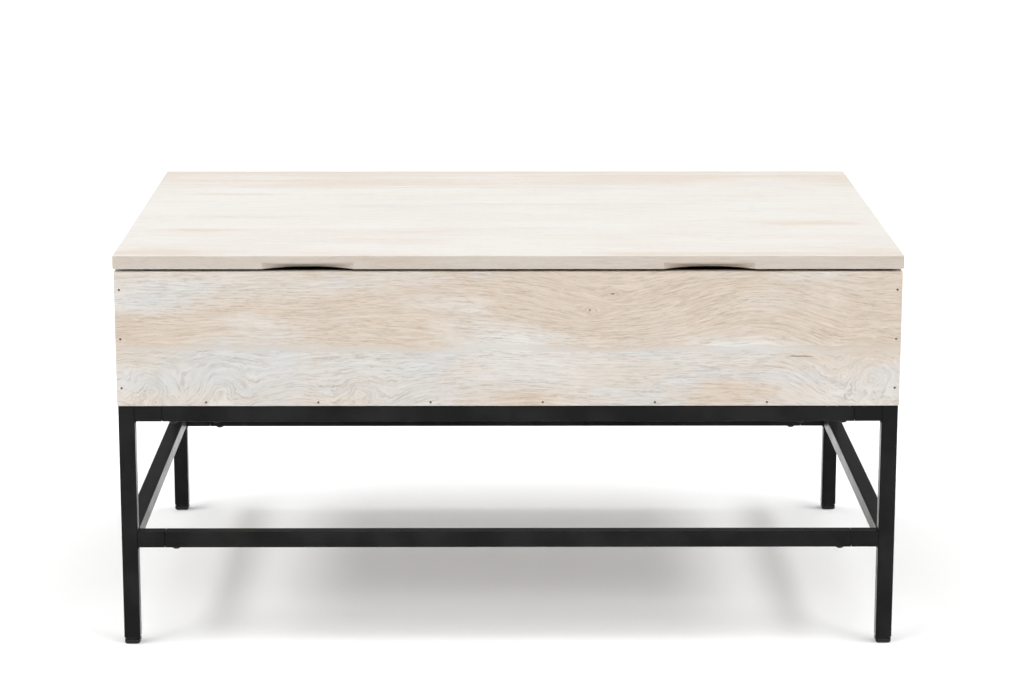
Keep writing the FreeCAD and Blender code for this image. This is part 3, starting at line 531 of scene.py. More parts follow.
def make_knot_group():
    """Bends the grain round one knot or burl.

    With m = exp(-r^2), r the distance from the centre over the size, the height across the grain is
    drawn towards the centre's by bulge times m, so that lines pass round it, tilted by lean times m,
    and mixed by swirl times m with the distance from the centre, unevenly, which makes loose rings.
    """
    wiring, given, result = shader_group(
        "Knot in the grain",
        [("Vector", "Vector", (0, 0, 0)), ("Centre", "Vector", (0, 0, 0)), ("Size", "Vector", (1, 1, 1)),
         ("Bulge", "Float", 0.6), ("Swirl", "Float", 0.0), ("Lean", "Float", 0.0)],
        [("Vector", "Vector")])
    away = wiring.add("VectorMath", given["Vector"], given["Centre"], operation="SUBTRACT").outputs[0]
    flat = wiring.stretch(away, (1, 1, 0))
    scaled = wiring.add("VectorMath", flat, given["Size"], operation="DIVIDE").outputs[0]
    reach = wiring.add("VectorMath", scaled, operation="LENGTH").outputs["Value"]
    fall = wiring.maths("MULTIPLY", wiring.maths("MULTIPLY", reach, reach), -1.0)
    near = wiring.maths("EXPONENT", fall)
    parts = wiring.add("SeparateXYZ", given["Vector"]).outputs
    offset = wiring.add("SeparateXYZ", away).outputs
    drawn = wiring.maths("MULTIPLY", offset[1], wiring.maths("MULTIPLY", near, given["Bulge"]))
    tilted = wiring.maths("MULTIPLY", offset[0], wiring.maths("MULTIPLY", near, given["Lean"]))
    passing = wiring.maths("SUBTRACT", wiring.maths("SUBTRACT", parts[1], drawn), tilted)
    middle = wiring.add("SeparateXYZ", given["Centre"]).outputs
    distance = wiring.add("VectorMath", flat, operation="LENGTH").outputs["Value"]
    loose = wiring.maths("SUBTRACT", wiring.noise(flat, (38.0, 38.0, 38.0), 3.0, 0.6), 0.5)
    distance = wiring.maths("ADD", distance, wiring.maths("MULTIPLY", loose, 0.03))
    ring = wiring.maths("ADD", middle[1], distance)
    amount = wiring.maths("MULTIPLY", near, given["Swirl"], clamp=True)
    mixed = wiring.add("Mix", data_type="FLOAT")
    wiring.put(mixed.inputs[0], amount)
    wiring.put(mixed.inputs[2], passing)
    wiring.put(mixed.inputs[3], ring)
    bent = wiring.add("CombineXYZ", parts[0], mixed.outputs[0], parts[2]).outputs[0]
    wiring.put(result["Vector"], bent)


def make_grain_group():
    """Whitewashed board. X runs along the grain, Y across the face, Z into the board, in metres.

    From large to small: bare and washed patches, cool tint, growth bands, streaks and pores, each a
    noise stretched along the grain. The patches lie on the plain place, the lines on the place bent
    round knots. Pores are dark, hollow places get a painted shade in the pore colour, worn edges show
    bare wood.
    """
    wiring, given, result = shader_group(
        "Washed grain",
        [("Place", "Vector", (0, 0, 0)), ("Bent", "Vector", (0, 0, 0)), ("Warm", "Color", (1, 1, 1, 1)),
         ("Pale", "Color", (1, 1, 1, 1)), ("Wash", "Color", (1, 1, 1, 1)), ("Cool", "Color", (1, 1, 1, 1)),
         ("Pore", "Color", (0, 0, 0, 1)), ("Bare", "Float", 0.5), ("Cover", "Float", 0.5),
         ("Chill", "Float", 0.3), ("Contrast", "Float", 1.0), ("Hollow", "Float", 0.0),
         ("Worn", "Float", 0.0)],
        [("Colour", "Color"), ("Roughness", "Float"), ("Height", "Float")])
    slow = wiring.noise(given["Place"], (2.2, 5.0, 5.0), 2.0)
    sway = wiring.maths("MULTIPLY", wiring.maths("SUBTRACT", slow, 0.5), 0.05)
    shift = wiring.add("CombineXYZ", 0.0, sway, 0.0).outputs[0]
    place = wiring.add("VectorMath", given["Place"], shift, operation="ADD").outputs[0]
    bent = wiring.add("VectorMath", given["Bent"], shift, operation="ADD").outputs[0]

    def patch(offset, scale, level, low, high):
        """How strongly a patch shows: more of the board is covered as the level goes up."""
        moved = wiring.add("VectorMath", place, offset, operation="ADD").outputs[0]
        spread = wiring.noise(moved, scale, 4.0, 0.55, 0.25)
        spread = wiring.maths("ADD", spread, wiring.maths("SUBTRACT", level, 0.5))
        return wiring.span(spread, low, high)

    bare = patch((0.0, 0.0, 0.0), (4.0, 15.0, 15.0), given["Bare"], 0.33, 0.67)
    cover = patch((3.7, 1.9, 0.4), (4.5, 17.0, 17.0), given["Cover"], 0.38, 0.70)
    chill = patch((-2.3, 5.1, 1.6), (7.0, 24.0, 24.0), given["Chill"], 0.38, 0.70)
    tone = wiring.blend(bare, given["Pale"], given["Warm"])
    tone = wiring.blend(cover, tone, given["Wash"])
    tone = wiring.blend(chill, tone, given["Cool"])

    band = wiring.span(wiring.noise(bent, (1.6, 75.0, 75.0), 3.0, 0.55, 0.5), 0.32, 0.68)
    streak = wiring.span(wiring.noise(bent, (17.0, 400.0, 400.0), 4.0, 0.7), 0.32, 0.68)
    lined = wiring.maths("ADD", wiring.maths("MULTIPLY", band, 0.22),
                         wiring.maths("MULTIPLY", streak, 0.78))
    drop = wiring.maths("MULTIPLY", lined, wiring.maths("MULTIPLY", given["Contrast"], 0.20))
    lit = wiring.maths("SUBTRACT", wiring.maths("MULTIPLY_ADD", given["Contrast"], 0.10, 1.0), drop)
    shade = wiring.add("CombineColor", lit, wiring.maths("POWER", lit, 1.06),
                       wiring.maths("POWER", lit, 1.25)).outputs[0]
    tone = wiring.blend(1.0, tone, shade, "MULTIPLY")

    pore = wiring.noise(bent, (70.0, 900.0, 900.0), 2.0, 0.6)
    crowd = wiring.span(wiring.noise(given["Place"], (11.0, 34.0, 34.0), 2.0), 0.34, 0.60, 0.5, 1.0)
    open_pore = wiring.maths("MULTIPLY", wiring.span(pore, 0.54, 0.64), crowd)
    dark = wiring.maths("MULTIPLY", open_pore, wiring.maths("MULTIPLY", given["Contrast"], 0.46))
    tone = wiring.blend(dark, tone, given["Pore"])
    filled = wiring.maths("MULTIPLY", wiring.span(pore, 0.45, 0.30), 0.55)
    tone = wiring.blend(filled, tone, given["Wash"])

    rubbed = wiring.span(wiring.noise(given["Place"], (60.0, 60.0, 60.0), 3.0), 0.35, 0.7)
    rub = wiring.maths("MULTIPLY", given["Worn"], wiring.maths("MULTIPLY", rubbed, 0.55))
    tone = wiring.blend(rub, tone, given["Warm"])
    # Painted shade: the Hollow input lays the pore colour into hollows and along the pulls' lips.
    tone = wiring.blend(given["Hollow"], tone, given["Pore"])
    rough = wiring.maths("ADD", wiring.maths("MULTIPLY", streak, 0.10),
                         wiring.maths("MULTIPLY", cover, 0.12))
    height = wiring.maths("SUBTRACT", wiring.maths("MULTIPLY", streak, -0.35),
                          wiring.maths("MULTIPLY", open_pore, 0.9))
    wiring.put(result["Colour"], tone)
    wiring.put(result["Roughness"], wiring.maths("ADD", rough, 0.42))
    wiring.put(result["Height"], height)


def make_arris_group():
    """How much a point lies on a rounded edge: its own normal is between the three axes there."""
    wiring, given, result = shader_group(
        "Rounded edge", [("Start", "Float", 0.03), ("End", "Float", 0.2)], [("Mask", "Float")])
    normal = wiring.add("TexCoord").outputs["Normal"]
    size = wiring.add("VectorMath", normal, operation="ABSOLUTE").outputs[0]
    parts = wiring.add("SeparateXYZ", size).outputs
    most = wiring.maths("MAXIMUM", wiring.maths("MAXIMUM", parts[0], parts[1]), parts[2])
    away = wiring.maths("SUBTRACT", 1.0, most)
    wiring.put(result["Mask"], wiring.span(away, given["Start"], given["End"]))


def make_metal_group():
    """Rolled and plated steel: fine scratches, cloudy plating and pinhead grain, by noise at three
    scales; the colour drifts from the given one towards a darker, warmer one in the clouds."""
    wiring, given, result = shader_group(
        "Plated steel",
        [("Vector", "Vector", (0, 0, 0)), ("Colour", "Color", (1, 1, 1, 1)),
         ("Stain", "Color", (0, 0, 0, 1)), ("Cloud", "Float", 0.4), ("Roughness", "Float", 0.35)],
        [("Colour", "Color"), ("Roughness", "Float"), ("Height", "Float")])
    cloud = wiring.span(wiring.noise(given["Vector"], (45.0, 45.0, 45.0), 4.0, 0.6, 0.6), 0.35, 0.68)
    grain = wiring.noise(given["Vector"], (900.0, 900.0, 900.0), 2.0, 0.6)
    scratch = wiring.noise(given["Vector"], (1300.0, 35.0, 160.0), 2.0, 0.7)
    stained = wiring.maths("MULTIPLY", cloud, given["Cloud"])
    tone = wiring.blend(stained, given["Colour"], given["Stain"])
    speckle = wiring.span(grain, 0.3, 0.7, 0.93, 1.05)
    shade = wiring.add("CombineColor", speckle, speckle, speckle).outputs[0]
    wiring.put(result["Colour"], wiring.blend(1.0, tone, shade, "MULTIPLY"))
    rough = wiring.maths("ADD", given["Roughness"], wiring.maths("MULTIPLY", cloud, 0.12))
    rough = wiring.maths("ADD", rough, wiring.maths("MULTIPLY", wiring.span(scratch, 0.55, 0.75), 0.10))
    wiring.put(result["Roughness"], rough)
    wiring.put(result["Height"], wiring.maths("ADD", wiring.maths("MULTIPLY", scratch, 0.5), grain))


def make_groups():
    make_spot_group()
    make_knot_group()
    make_grain_group()
    make_arris_group()
    make_metal_group()


# ---------------------------------------------------------------- materials

def new_material(name):
    """An empty material: its wiring, its Principled shader and its Object coordinates."""
    material = bpy.data.materials.new(name)
    material.use_nodes = True
    tree = material.node_tree
    wiring = Wiring(tree)
    shader = tree.nodes["Principled BSDF"]
    place = wiring.add("TexCoord").outputs["Object"]
    return material, wiring, shader, place


def finish_material(wiring, shader, colour_out, rough, height, bump, reach=0.001):
    """Feed the shader and turn the height into a bump of the given strength."""
    wiring.put(shader.inputs["Base Color"], colour_out)
    wiring.put(shader.inputs["Roughness"], rough)
    node = wiring.add("Bump")
    node.inputs["Strength"].default_value = bump
    node.inputs["Distance"].default_value = reach
    wiring.put(node.inputs["Height"], height)
    wiring.put(shader.inputs["Normal"], node.outputs[0])


def washed_wood(name, settings, turn, shift, levels, contrast=1.0, knots=(), patches=(), joint=None,
                tones=None, edge=None):
    """One board's finish. turn brings the grain to X and the face to XY and shift picks the part of
    the tree it was cut from. levels are how much is bare, washed and cool; a joint (height, levels)
    changes them below it, and each patch (centre, size, changes) in a soft round spot. Each knot is
    (centre, size, bulge, swirl, lean), all in the turned coordinates. edge is a painted shade
    multiplied into the board's narrow upright faces, which darkens them against the lit top."""
    material, wiring, shader, place = new_material(name)
    mapping = wiring.add("Mapping", place)
    mapping.inputs["Rotation"].default_value = turn
    plain = mapping.outputs[0]
    bent = plain
    for centre, size, bulge, swirl, lean in knots:
        bent = wiring.group("Knot in the grain", Vector=bent, Centre=centre, Size=size, Bulge=bulge,
                            Swirl=swirl, Lean=lean)["Vector"]
    cut = wiring.add("CombineXYZ", *shift).outputs[0]
    if joint:
        height, lower = joint
        level = wiring.add("SeparateXYZ", plain).outputs[1]
        drift = wiring.noise(plain, (9.0, 40.0, 40.0), 3.0, 0.6)
        level = wiring.maths("MULTIPLY_ADD", wiring.maths("SUBTRACT", drift, 0.5), 22 * MM, level)
        below = wiring.span(level, height + 4 * MM, height - 4 * MM)
        levels = [wiring.add("MapRange", below, 0.0, 1.0, *pair).outputs[0]
                  for pair in zip(levels, lower)]
        other = wiring.stretch(wiring.add("CombineXYZ", below, below, below).outputs[0], (2.3, 1.1, 0.7))
        cut = wiring.add("VectorMath", cut, other, operation="ADD").outputs[0]
    for centre, size, changes in patches:
        near = wiring.group("Soft spot", Vector=plain, Centre=centre, Size=size)["Nearness"]
        levels = [wiring.add("Math", near, change, level, operation="MULTIPLY_ADD").outputs[0]
                  for change, level in zip(changes, levels)]
    # Painted shade from each piece's hollow values.
    hollow = wiring.add("Attribute", attribute_name="hollow").outputs["Fac"]
    worn = wiring.group("Rounded edge")["Mask"]
    warm, pale, wash, cool, pore = tones or (settings.warm, settings.pale, settings.wash,
                                             settings.cool, settings.pore)
    bare, cover, chill = levels
    grain = wiring.group("Washed grain",
                         Place=wiring.add("VectorMath", plain, cut, operation="ADD").outputs[0],
                         Bent=wiring.add("VectorMath", bent, cut, operation="ADD").outputs[0],
                         Warm=rgba(warm), Pale=rgba(pale), Wash=rgba(wash), Cool=rgba(cool),
                         Pore=rgba(pore), Bare=bare, Cover=cover, Chill=chill, Contrast=contrast,
                         Hollow=hollow, Worn=worn)
    tone = grain["Colour"]
    # Painted shade: the narrow upright faces are multiplied by the edge colour.
    if edge:
        normal = wiring.add("TexCoord").outputs["Normal"]
        flat = wiring.maths("ABSOLUTE", wiring.add("SeparateXYZ", normal).outputs[2])
        upright = wiring.span(flat, 0.75, 0.35)
        tone = wiring.blend(upright, tone, wiring.blend(1.0, tone, rgba(edge), "MULTIPLY"))
    finish_material(wiring, shader, tone, grain["Roughness"], grain["Height"], 0.35, 0.0006)
    shader.inputs["Specular IOR Level"].default_value = 0.35
    return material


def powder_coat(name, settings):
    """Black powder coat: an orange-peel skin, painted glints as pale specks on the upper rounded
    edges, and a sheen that only shows where the surface is seen almost from the side."""
    material, wiring, shader, place = new_material(name)
    peel = wiring.noise(place, (950.0, 950.0, 950.0), 2.0, 0.5)
    wave = wiring.noise(place, (16.0, 16.0, 16.0), 3.0, 0.5)
    edge = wiring.group("Rounded edge", Start=0.02, End=0.12)["Mask"]
    speck = wiring.noise(place, (260.0, 420.0, 420.0), 3.0, 0.7)
    patch = wiring.noise(place, (9.0, 9.0, 9.0), 2.0)
    upper = wiring.add("SeparateXYZ", wiring.add("TexCoord").outputs["Normal"]).outputs[2]
    # Painted glints: pale specks on the rounded edges that face up towards the light.
    glint_mask = wiring.maths("MULTIPLY", wiring.span(patch, 0.60, 0.68), wiring.span(speck, 0.60, 0.66))
    glint_mask = wiring.maths("MULTIPLY", glint_mask, wiring.maths("MULTIPLY", edge, wiring.span(upper, 0.1, 0.4)))
    glint_mask = wiring.maths("MULTIPLY", glint_mask, settings.glint_cover)
    dust = wiring.span(wave, 0.35, 0.7, 0.85, 1.35)
    shade = wiring.add("CombineColor", dust, dust, dust).outputs[0]
    tone = wiring.blend(1.0, rgba(settings.coat), shade, "MULTIPLY")
    # Pale colour of the painted glints.
    tone = wiring.blend(glint_mask, tone, (0.6, 0.57, 0.52, 1.0))
    rough = wiring.span(wave, 0.3, 0.7, settings.coat_roughness - 0.04, settings.coat_roughness + 0.06)
    finish_material(wiring, shader, tone, rough, peel, 0.16, 0.0004)
    facing = wiring.add("LayerWeight", 0.5).outputs["Facing"]
    wiring.put(shader.inputs["Specular IOR Level"], wiring.span(facing, 0.79, 0.87, 0.015, 1.0))
    return material


def plated_steel(name, plating, stain, cloud, roughness, bump=0.1):
    """Zinc plated, blackened or raw steel."""
    material, wiring, shader, place = new_material(name)
    metal = wiring.group("Plated steel", Vector=place, Colour=rgba(plating), Stain=rgba(stain),
                         Cloud=cloud, Roughness=roughness)
    finish_material(wiring, shader, metal["Colour"], metal["Roughness"], metal["Height"], bump, 0.0003)
    shader.inputs["Metallic"].default_value = 1.0
    return material


def moulded(name, low, high, roughness, bump, specular):
    """Moulded plastic or rubber: a fine matt skin between two close tones."""
    material, wiring, shader, place = new_material(name)
    skin_noise = wiring.noise(place, (1400.0, 1400.0, 1400.0), 2.0, 0.6)
    flow = wiring.noise(place, (70.0, 70.0, 30.0), 3.0, 0.5, 0.5)
    tone = wiring.blend(wiring.span(flow, 0.3, 0.7), rgba(low), rgba(high))
    rough = wiring.span(flow, 0.3, 0.7, roughness - 0.05, roughness + 0.08)
    finish_material(wiring, shader, tone, rough, skin_noise, bump, 0.0003)
    shader.inputs["Specular IOR Level"].default_value = specular
    return material


def floor_paper(name, paleness):
    """Pale paper floor with barely visible clouds."""
    material, wiring, shader, place = new_material(name)
    cloud = wiring.noise(place, (0.9, 0.9, 0.9), 3.0)
    tone = wiring.span(cloud, 0.3, 0.7, paleness - 0.006, paleness)
    paper = wiring.add("CombineColor", tone, tone, tone).outputs[0]
    fibre = wiring.noise(place, (500.0, 500.0, 500.0), 2.0)
    finish_material(wiring, shader, paper, wiring.span(cloud, 0.3, 0.7, 0.85, 0.95), fibre, 0.02, 0.0005)
    shader.inputs["Specular IOR Level"].default_value = 0.0
    return material


def coat_node(node, material):
    """Give a CAD node its finish."""
    slots = frame["nodes"][node].data.materials
    slots.clear()
    slots.append(material)


# ---------------------------------------------------------------- boards

# Where the front panel's wood is marked, as shares of its width and height: knots with their
# half-sizes, and one drying crack.
FRONT_KNOTS = ((0.632, 0.836, 2.6, 1.1), (0.603, 0.716, 1.2, 1.3))
FRONT_CRACK = (0.871, 0.372, 13.5, 0.55)
# The front panel is glued from two boards; the joint lies at this share of its height.
FRONT_JOINT = 0.43
# Figure of the front panel: place as shares, size in metres, then bulge, swirl and lean of the grain.
FRONT_FIGURE = (
    (0.965, 0.19, 0.062, 0.052, 0.0, 1.0, 0.0),
    (0.045, 0.10, 0.055, 0.040, 0.0, 1.0, 0.0),
    (0.130, 0.15, 0.060, 0.040, 0.2, 0.7, 0.0),
    (0.310, 0.08, 0.045, 0.030, 0.0, 0.8, 0.0),
    (0.720, 0.78, 0.130, 0.050, 0.0, 0.0, 0.30),
    (0.900, 0.60, 0.090, 0.060, 0.0, 0.0, -0.20),
)
# Patches of the front panel: place as shares, size in metres, and how much more bare, washed and
# cool the wood is there.
FRONT_PATCHES = (
    (0.05, 0.86, 0.085, 0.030, (-0.30, 0.10, 0.22)),
    (0.02, 0.58, 0.070, 0.018, (0.30, -0.25, -0.30)),
    (0.54, 0.78, 0.060, 0.030, (0.28, -0.20, -0.20)),
    (0.70, 0.85, 0.110, 0.018, (0.28, -0.20, -0.15)),
    (0.90, 0.57, 0.090, 0.020, (0.25, -0.15, -0.15)),
    (0.98, 0.72, 0.035, 0.045, (0.25, -0.20, -0.20)),
    (0.49, 0.45, 0.060, 0.018, (-0.25, 0.30, 0.00)),
    (0.80, 0.43, 0.060, 0.016, (-0.25, 0.28, 0.00)),
    (0.14, 0.28, 0.110, 0.026, (-0.15, -0.10, 0.22)),
    (0.79, 0.10, 0.045, 0.016, (0.30, -0.20, -0.35)),
    (0.53, 0.05, 0.040, 0.010, (0.28, -0.15, -0.30)),
)
# Streaks of the lid boards, front to back: place and size in metres, then the changes as above.
LID_STREAKS = (
    ((-0.41, -0.285, 0.045, 0.014, (0.45, -0.35, -0.30)), (0.30, -0.294, 0.20, 0.010, (0.40, -0.30, -0.30)),
     (-0.20, -0.215, 0.16, 0.006, (-0.10, -0.20, 0.35))),
    ((-0.37, -0.140, 0.060, 0.010, (0.45, -0.35, 0.00)), (0.03, -0.128, 0.06, 0.005, (0.00, -0.40, 0.50)),
     (0.38, -0.100, 0.070, 0.012, (0.40, -0.30, -0.20))),
    ((-0.33, -0.050, 0.090, 0.007, (0.00, -0.30, 0.45)), (-0.13, 0.028, 0.12, 0.006, (0.00, -0.40, 0.55)),
     (0.05, 0.045, 0.130, 0.006, (0.00, -0.40, 0.50))),
    ((-0.13, 0.172, 0.300, 0.004, (0.55, -0.50, 0.35)), (-0.36, 0.118, 0.06, 0.006, (0.70, -0.50, -0.20)),
     (0.12, 0.160, 0.080, 0.005, (0.00, -0.40, 0.50)), (0.33, 0.062, 0.09, 0.006, (0.00, -0.40, 0.50))),
    ((-0.02, 0.298, 0.420, 0.008, (0.60, -0.50, -0.30)), (0.27, 0.262, 0.18, 0.007, (0.75, -0.50, -0.30)),
     (0.05, 0.236, 0.220, 0.004, (0.40, -0.40, 0.40)), (-0.30, 0.225, 0.10, 0.006, (0.50, -0.40, -0.20))),
)
FINE_LINES = np.array([0, 0.4, 0.8, 1.15, 1.5, 2.1, 3.0]) * MM
CRACK_LINES = np.array([0, 0.2, 0.4, 0.6, 1.0]) * MM
LEVEL = (0.0, 0.0, 0.0)
UPRIGHT_X = (-math.pi / 2, 0.0, 0.0)
UPRIGHT_Y = (-math.pi / 2, -math.pi / 2, 0.0)


def uneven(radius, place, seed):
    """An eased edge's radius along a board, sanded a little more here and there."""
    return radius * (1 + 0.3 * wander(place, seed, 0.12))


def drawn_in(values, low, high, inset, low_share=1.0, high_share=1.0):
    """Sections scaled between their two sides, each drawn in by its share of the inset."""
    low_in = inset[:, None] * low_share
    high_in = inset[:, None] * high_share
    return low + low_in + (values - low) * (high - low - low_in - high_in) / (high - low)


def panel_marks(face, wood):
    """Hollows over the heads of the nails that come to a panel's outer face."""
    marks = []
    for brads in ("corner_brads", "bottom_brads"):
        for low, high in solids_of(brads):
            if min(abs(low[1] - face), abs(high[1] - face)) < 1 * MM:
                middle = (low + high) / 2
                wide = wood.nail_head * 1.35
                marks.append((middle[0], middle[2], wide, wide, wood.nail_sink * 1.8))
    return marks


def plain_board(node, along, wood, seed, radius=None, marks=(), marked_side=None, step=None):
    """A board or panel: a rectangle with four eased corners carried along it, drawn in at both ends
    by a quarter circle. The marked side, 'low' or 'high' on the second axis, has the hollows."""
    low, high = box_of(node)
    run, wide = (0, 1) if along == "X" else (1, 0)
    radius = radius or wood.edge_ease
    step = step or wood.line_step
    fine = np.concatenate([FINE_LINES, CRACK_LINES])
    spots = sorted({round(mark[0], 5) for mark in marks})
    levels = sorted({round(mark[1], 5) for mark in marks})
    inner = lines(low[run], high[run], step, spots, fine)
    place, inset = end_stations(low[run], high[run], radius, inner)
    ease = [uneven(radius, place, seed + k) for k in range(4)]
    corners = [(low[wide] + ease[0], low[2] + ease[0], ease[0], 180, 270),
               (high[wide] - ease[1], low[2] + ease[1], ease[1], 270, 360),
               (high[wide] - ease[2], high[2] - ease[2], ease[2], 0, 90),
               (low[wide] + ease[3], high[2] - ease[3], ease[3], 90, 180)]
    across = np.linspace(0, 1, max(3, int((high[wide] - low[wide]) / step) + 1))[1:-1]
    up = np.linspace(0, 1, max(3, int((high[2] - low[2]) / step) + 1))[1:-1]
    rise = (lines(low[2] + radius * 1.4, high[2] - radius * 1.4, step, levels, fine) - low[2] - radius)
    rise = rise / (high[2] - low[2] - 2 * radius)
    sides = [across, up, across, up]
    if marked_side == "low":
        sides[3] = 1 - rise[::-1]
    if marked_side == "high":
        sides[1] = rise
    a, b = outline(corners, sides)
    face = low[wide] if marked_side == "low" else high[wide]
    inward = 1 if marked_side == "low" else -1
    spread = np.broadcast_to(place[:, None], a.shape)
    depth = np.zeros_like(a)
    if marked_side:
        outer = np.abs(a - face) < 0.01 * MM
        depth = np.where(outer, hollows(spread, b, marks), 0)
        waves = wood.sanding * (0.5 + 0.5 * wander(spread + 2.7 * b, seed + 9, 0.11))
        a = a + inward * np.where(outer, waves + depth, 0)
    a = drawn_in(a, low[wide], high[wide], inset)
    b = drawn_in(b, low[2], high[2], inset)
    # Painted shade: the hollows darken fully once they are half a millimetre deep.
    dark = smooth(depth / (0.5 * MM))
    return skin(place_section(place, a, b, along)), dark


def lid_board(node, wood, seed):
    """A lid board along X. Its outer edges are eased and its glued edges nearly sharp.

    In the front board the underside is cut away over each finger pull: the depth of the cut is
    sqrt(R^2 - x^2) less the part of the radius R outside the board, x from the pull's middle. The
    outline then runs up the curved wall, round a hollow corner, out along the pull's ceiling and
    round its eased lip, along which a painted shade darkens the wood. Where the depth is 0 these
    points fall together and are welded.
    """
    low, high = box_of(node)
    lid_low, lid_high = box_of(BOARDS[0])[0], box_of(BOARDS[-1])[1]
    first = low[1] < lid_low[1] + 1 * MM
    last = high[1] > lid_high[1] - 1 * MM
    middles = (-wood.pull_spacing / 2, wood.pull_spacing / 2)
    half = wood.pull_width / 2
    inner = lines(low[0], high[0], wood.line_step)
    if first:
        near = np.concatenate([middle + np.linspace(-half, half, 91) for middle in middles])
        inner = np.unique(np.round(np.concatenate([inner, near]), 6))
        inner = inner[np.concatenate([[True], np.diff(inner) > 0.2 * MM])]
    place, inset = end_stations(low[0], high[0], wood.edge_ease, inner)
    outer = wood.edge_ease
    front = uneven(outer if first else wood.joint_ease, place, seed)
    back = uneven(outer if last else wood.joint_ease, place, seed + 1)
    radius = (half ** 2 + wood.pull_depth ** 2) / (2 * wood.pull_depth)
    cut = np.zeros(len(place))
    if first:
        for middle in middles:
            x = np.clip(np.abs(place - middle), 0, half)
            cut = np.maximum(cut, np.sqrt(radius ** 2 - x ** 2) - (radius - wood.pull_depth))
    cut[cut < 0.02 * MM] = 0
    corners = [(low[1] + cut + front, low[2] + front, front, 180, 270),
               (high[1] - back, low[2] + back, back, 270, 360),
               (high[1] - back, high[2] - back, back, 0, 90),
               (low[1] + front, high[2] - front, front, 90, 180)]
    across = np.linspace(0, 1, 21)[1:-1]
    up = np.linspace(0, 1, 5)[1:-1]
    sides = [across, up, across, up]
    if first:
        ceiling = low[2] + wood.pull_height
        lip = np.minimum(0.6 * MM, cut / 2)
        hollow = np.minimum(0.8 * MM, cut / 2)
        corners.append((low[1] + lip, ceiling + lip, lip, 180, 270))
        corners.append((low[1] + cut - hollow, ceiling - hollow, hollow, 90, 0))
        sides += [np.linspace(0, 1, 7)[1:-1], up]
    a, b = outline(corners, sides)
    spread = np.broadcast_to(place[:, None], a.shape)
    top = b > high[2] - 0.01 * MM
    waves = wood.sanding * (0.5 + 0.5 * wander(spread + 3.1 * a, 5, 0.16))
    b = b - np.where(top, waves, 0)
    a = drawn_in(a, low[1], high[1], inset, float(first), float(last))
    dark = np.zeros_like(a)
    if first:
        # Painted shade along each pull's lip: within the first value's reach of the lip's edge the wood darkens by
        # up to the second value.
        shade_reach, lip_shade = 1.3 * MM, 0.7
        away = np.hypot(a - low[1], b - ceiling)
        dark = lip_shade * np.where(cut[:, None] > 0, smooth((shade_reach - away) / MM), 0)
    b = drawn_in(b, low[2], high[2], inset)
    return skin(place_section(place, a, b, "X")), dark


class LIFT_TABLE_OT_lid(bpy.types.Operator):
    """Lay the five lid boards, with the finger pulls cut under the front one"""
    bl_idname = "lift_table.lid"
    bl_label = "Lid Boards"
    bl_options = {"REGISTER", "UNDO"}

    def execute(self, context):
        wood = context.scene.lift_table.wood
        levels = ((0.42, 0.50, 0.22), (0.32, 0.52, 0.28), (0.27, 0.54, 0.34), (0.30, 0.52, 0.32),
                  (0.52, 0.42, 0.18))
        for k, (node, level, streaks) in enumerate(zip(BOARDS, levels, LID_STREAKS)):
            patches = [((x, y, 0), (wide, tall, 1), changes) for x, y, wide, tall, changes in streaks]
            # edge darkens the boards' upright faces with a painted shade.
            material = washed_wood("Lid board " + str(k + 1), wood, LEVEL, (1.37 * k, 0.71 * k, 0.53 * k),
                                   level, contrast=0.5, tones=lid_tones(wood), patches=patches,
                                   edge=(0.81, 0.755, 0.71))
            shape, dark = lid_board(node, wood, 11 * k)
            piece(node + "_planed", [shape], "lid", material, [node], hollow=dark)
        return {"FINISHED"}


def lid_tones(wood):
    """The lid's wash is thicker than the box's: each tone is drawn towards that of the wash."""
    shares = ((wood.warm, 0.35), (wood.pale, 0.78), (wood.wash, 1.0), (wood.cool, 0.30), (wood.pore, 0.25))
    return [tuple(1.03 * (np.array(tone) * (1 - share) + np.array(wood.wash) * share))
            for tone, share in shares]


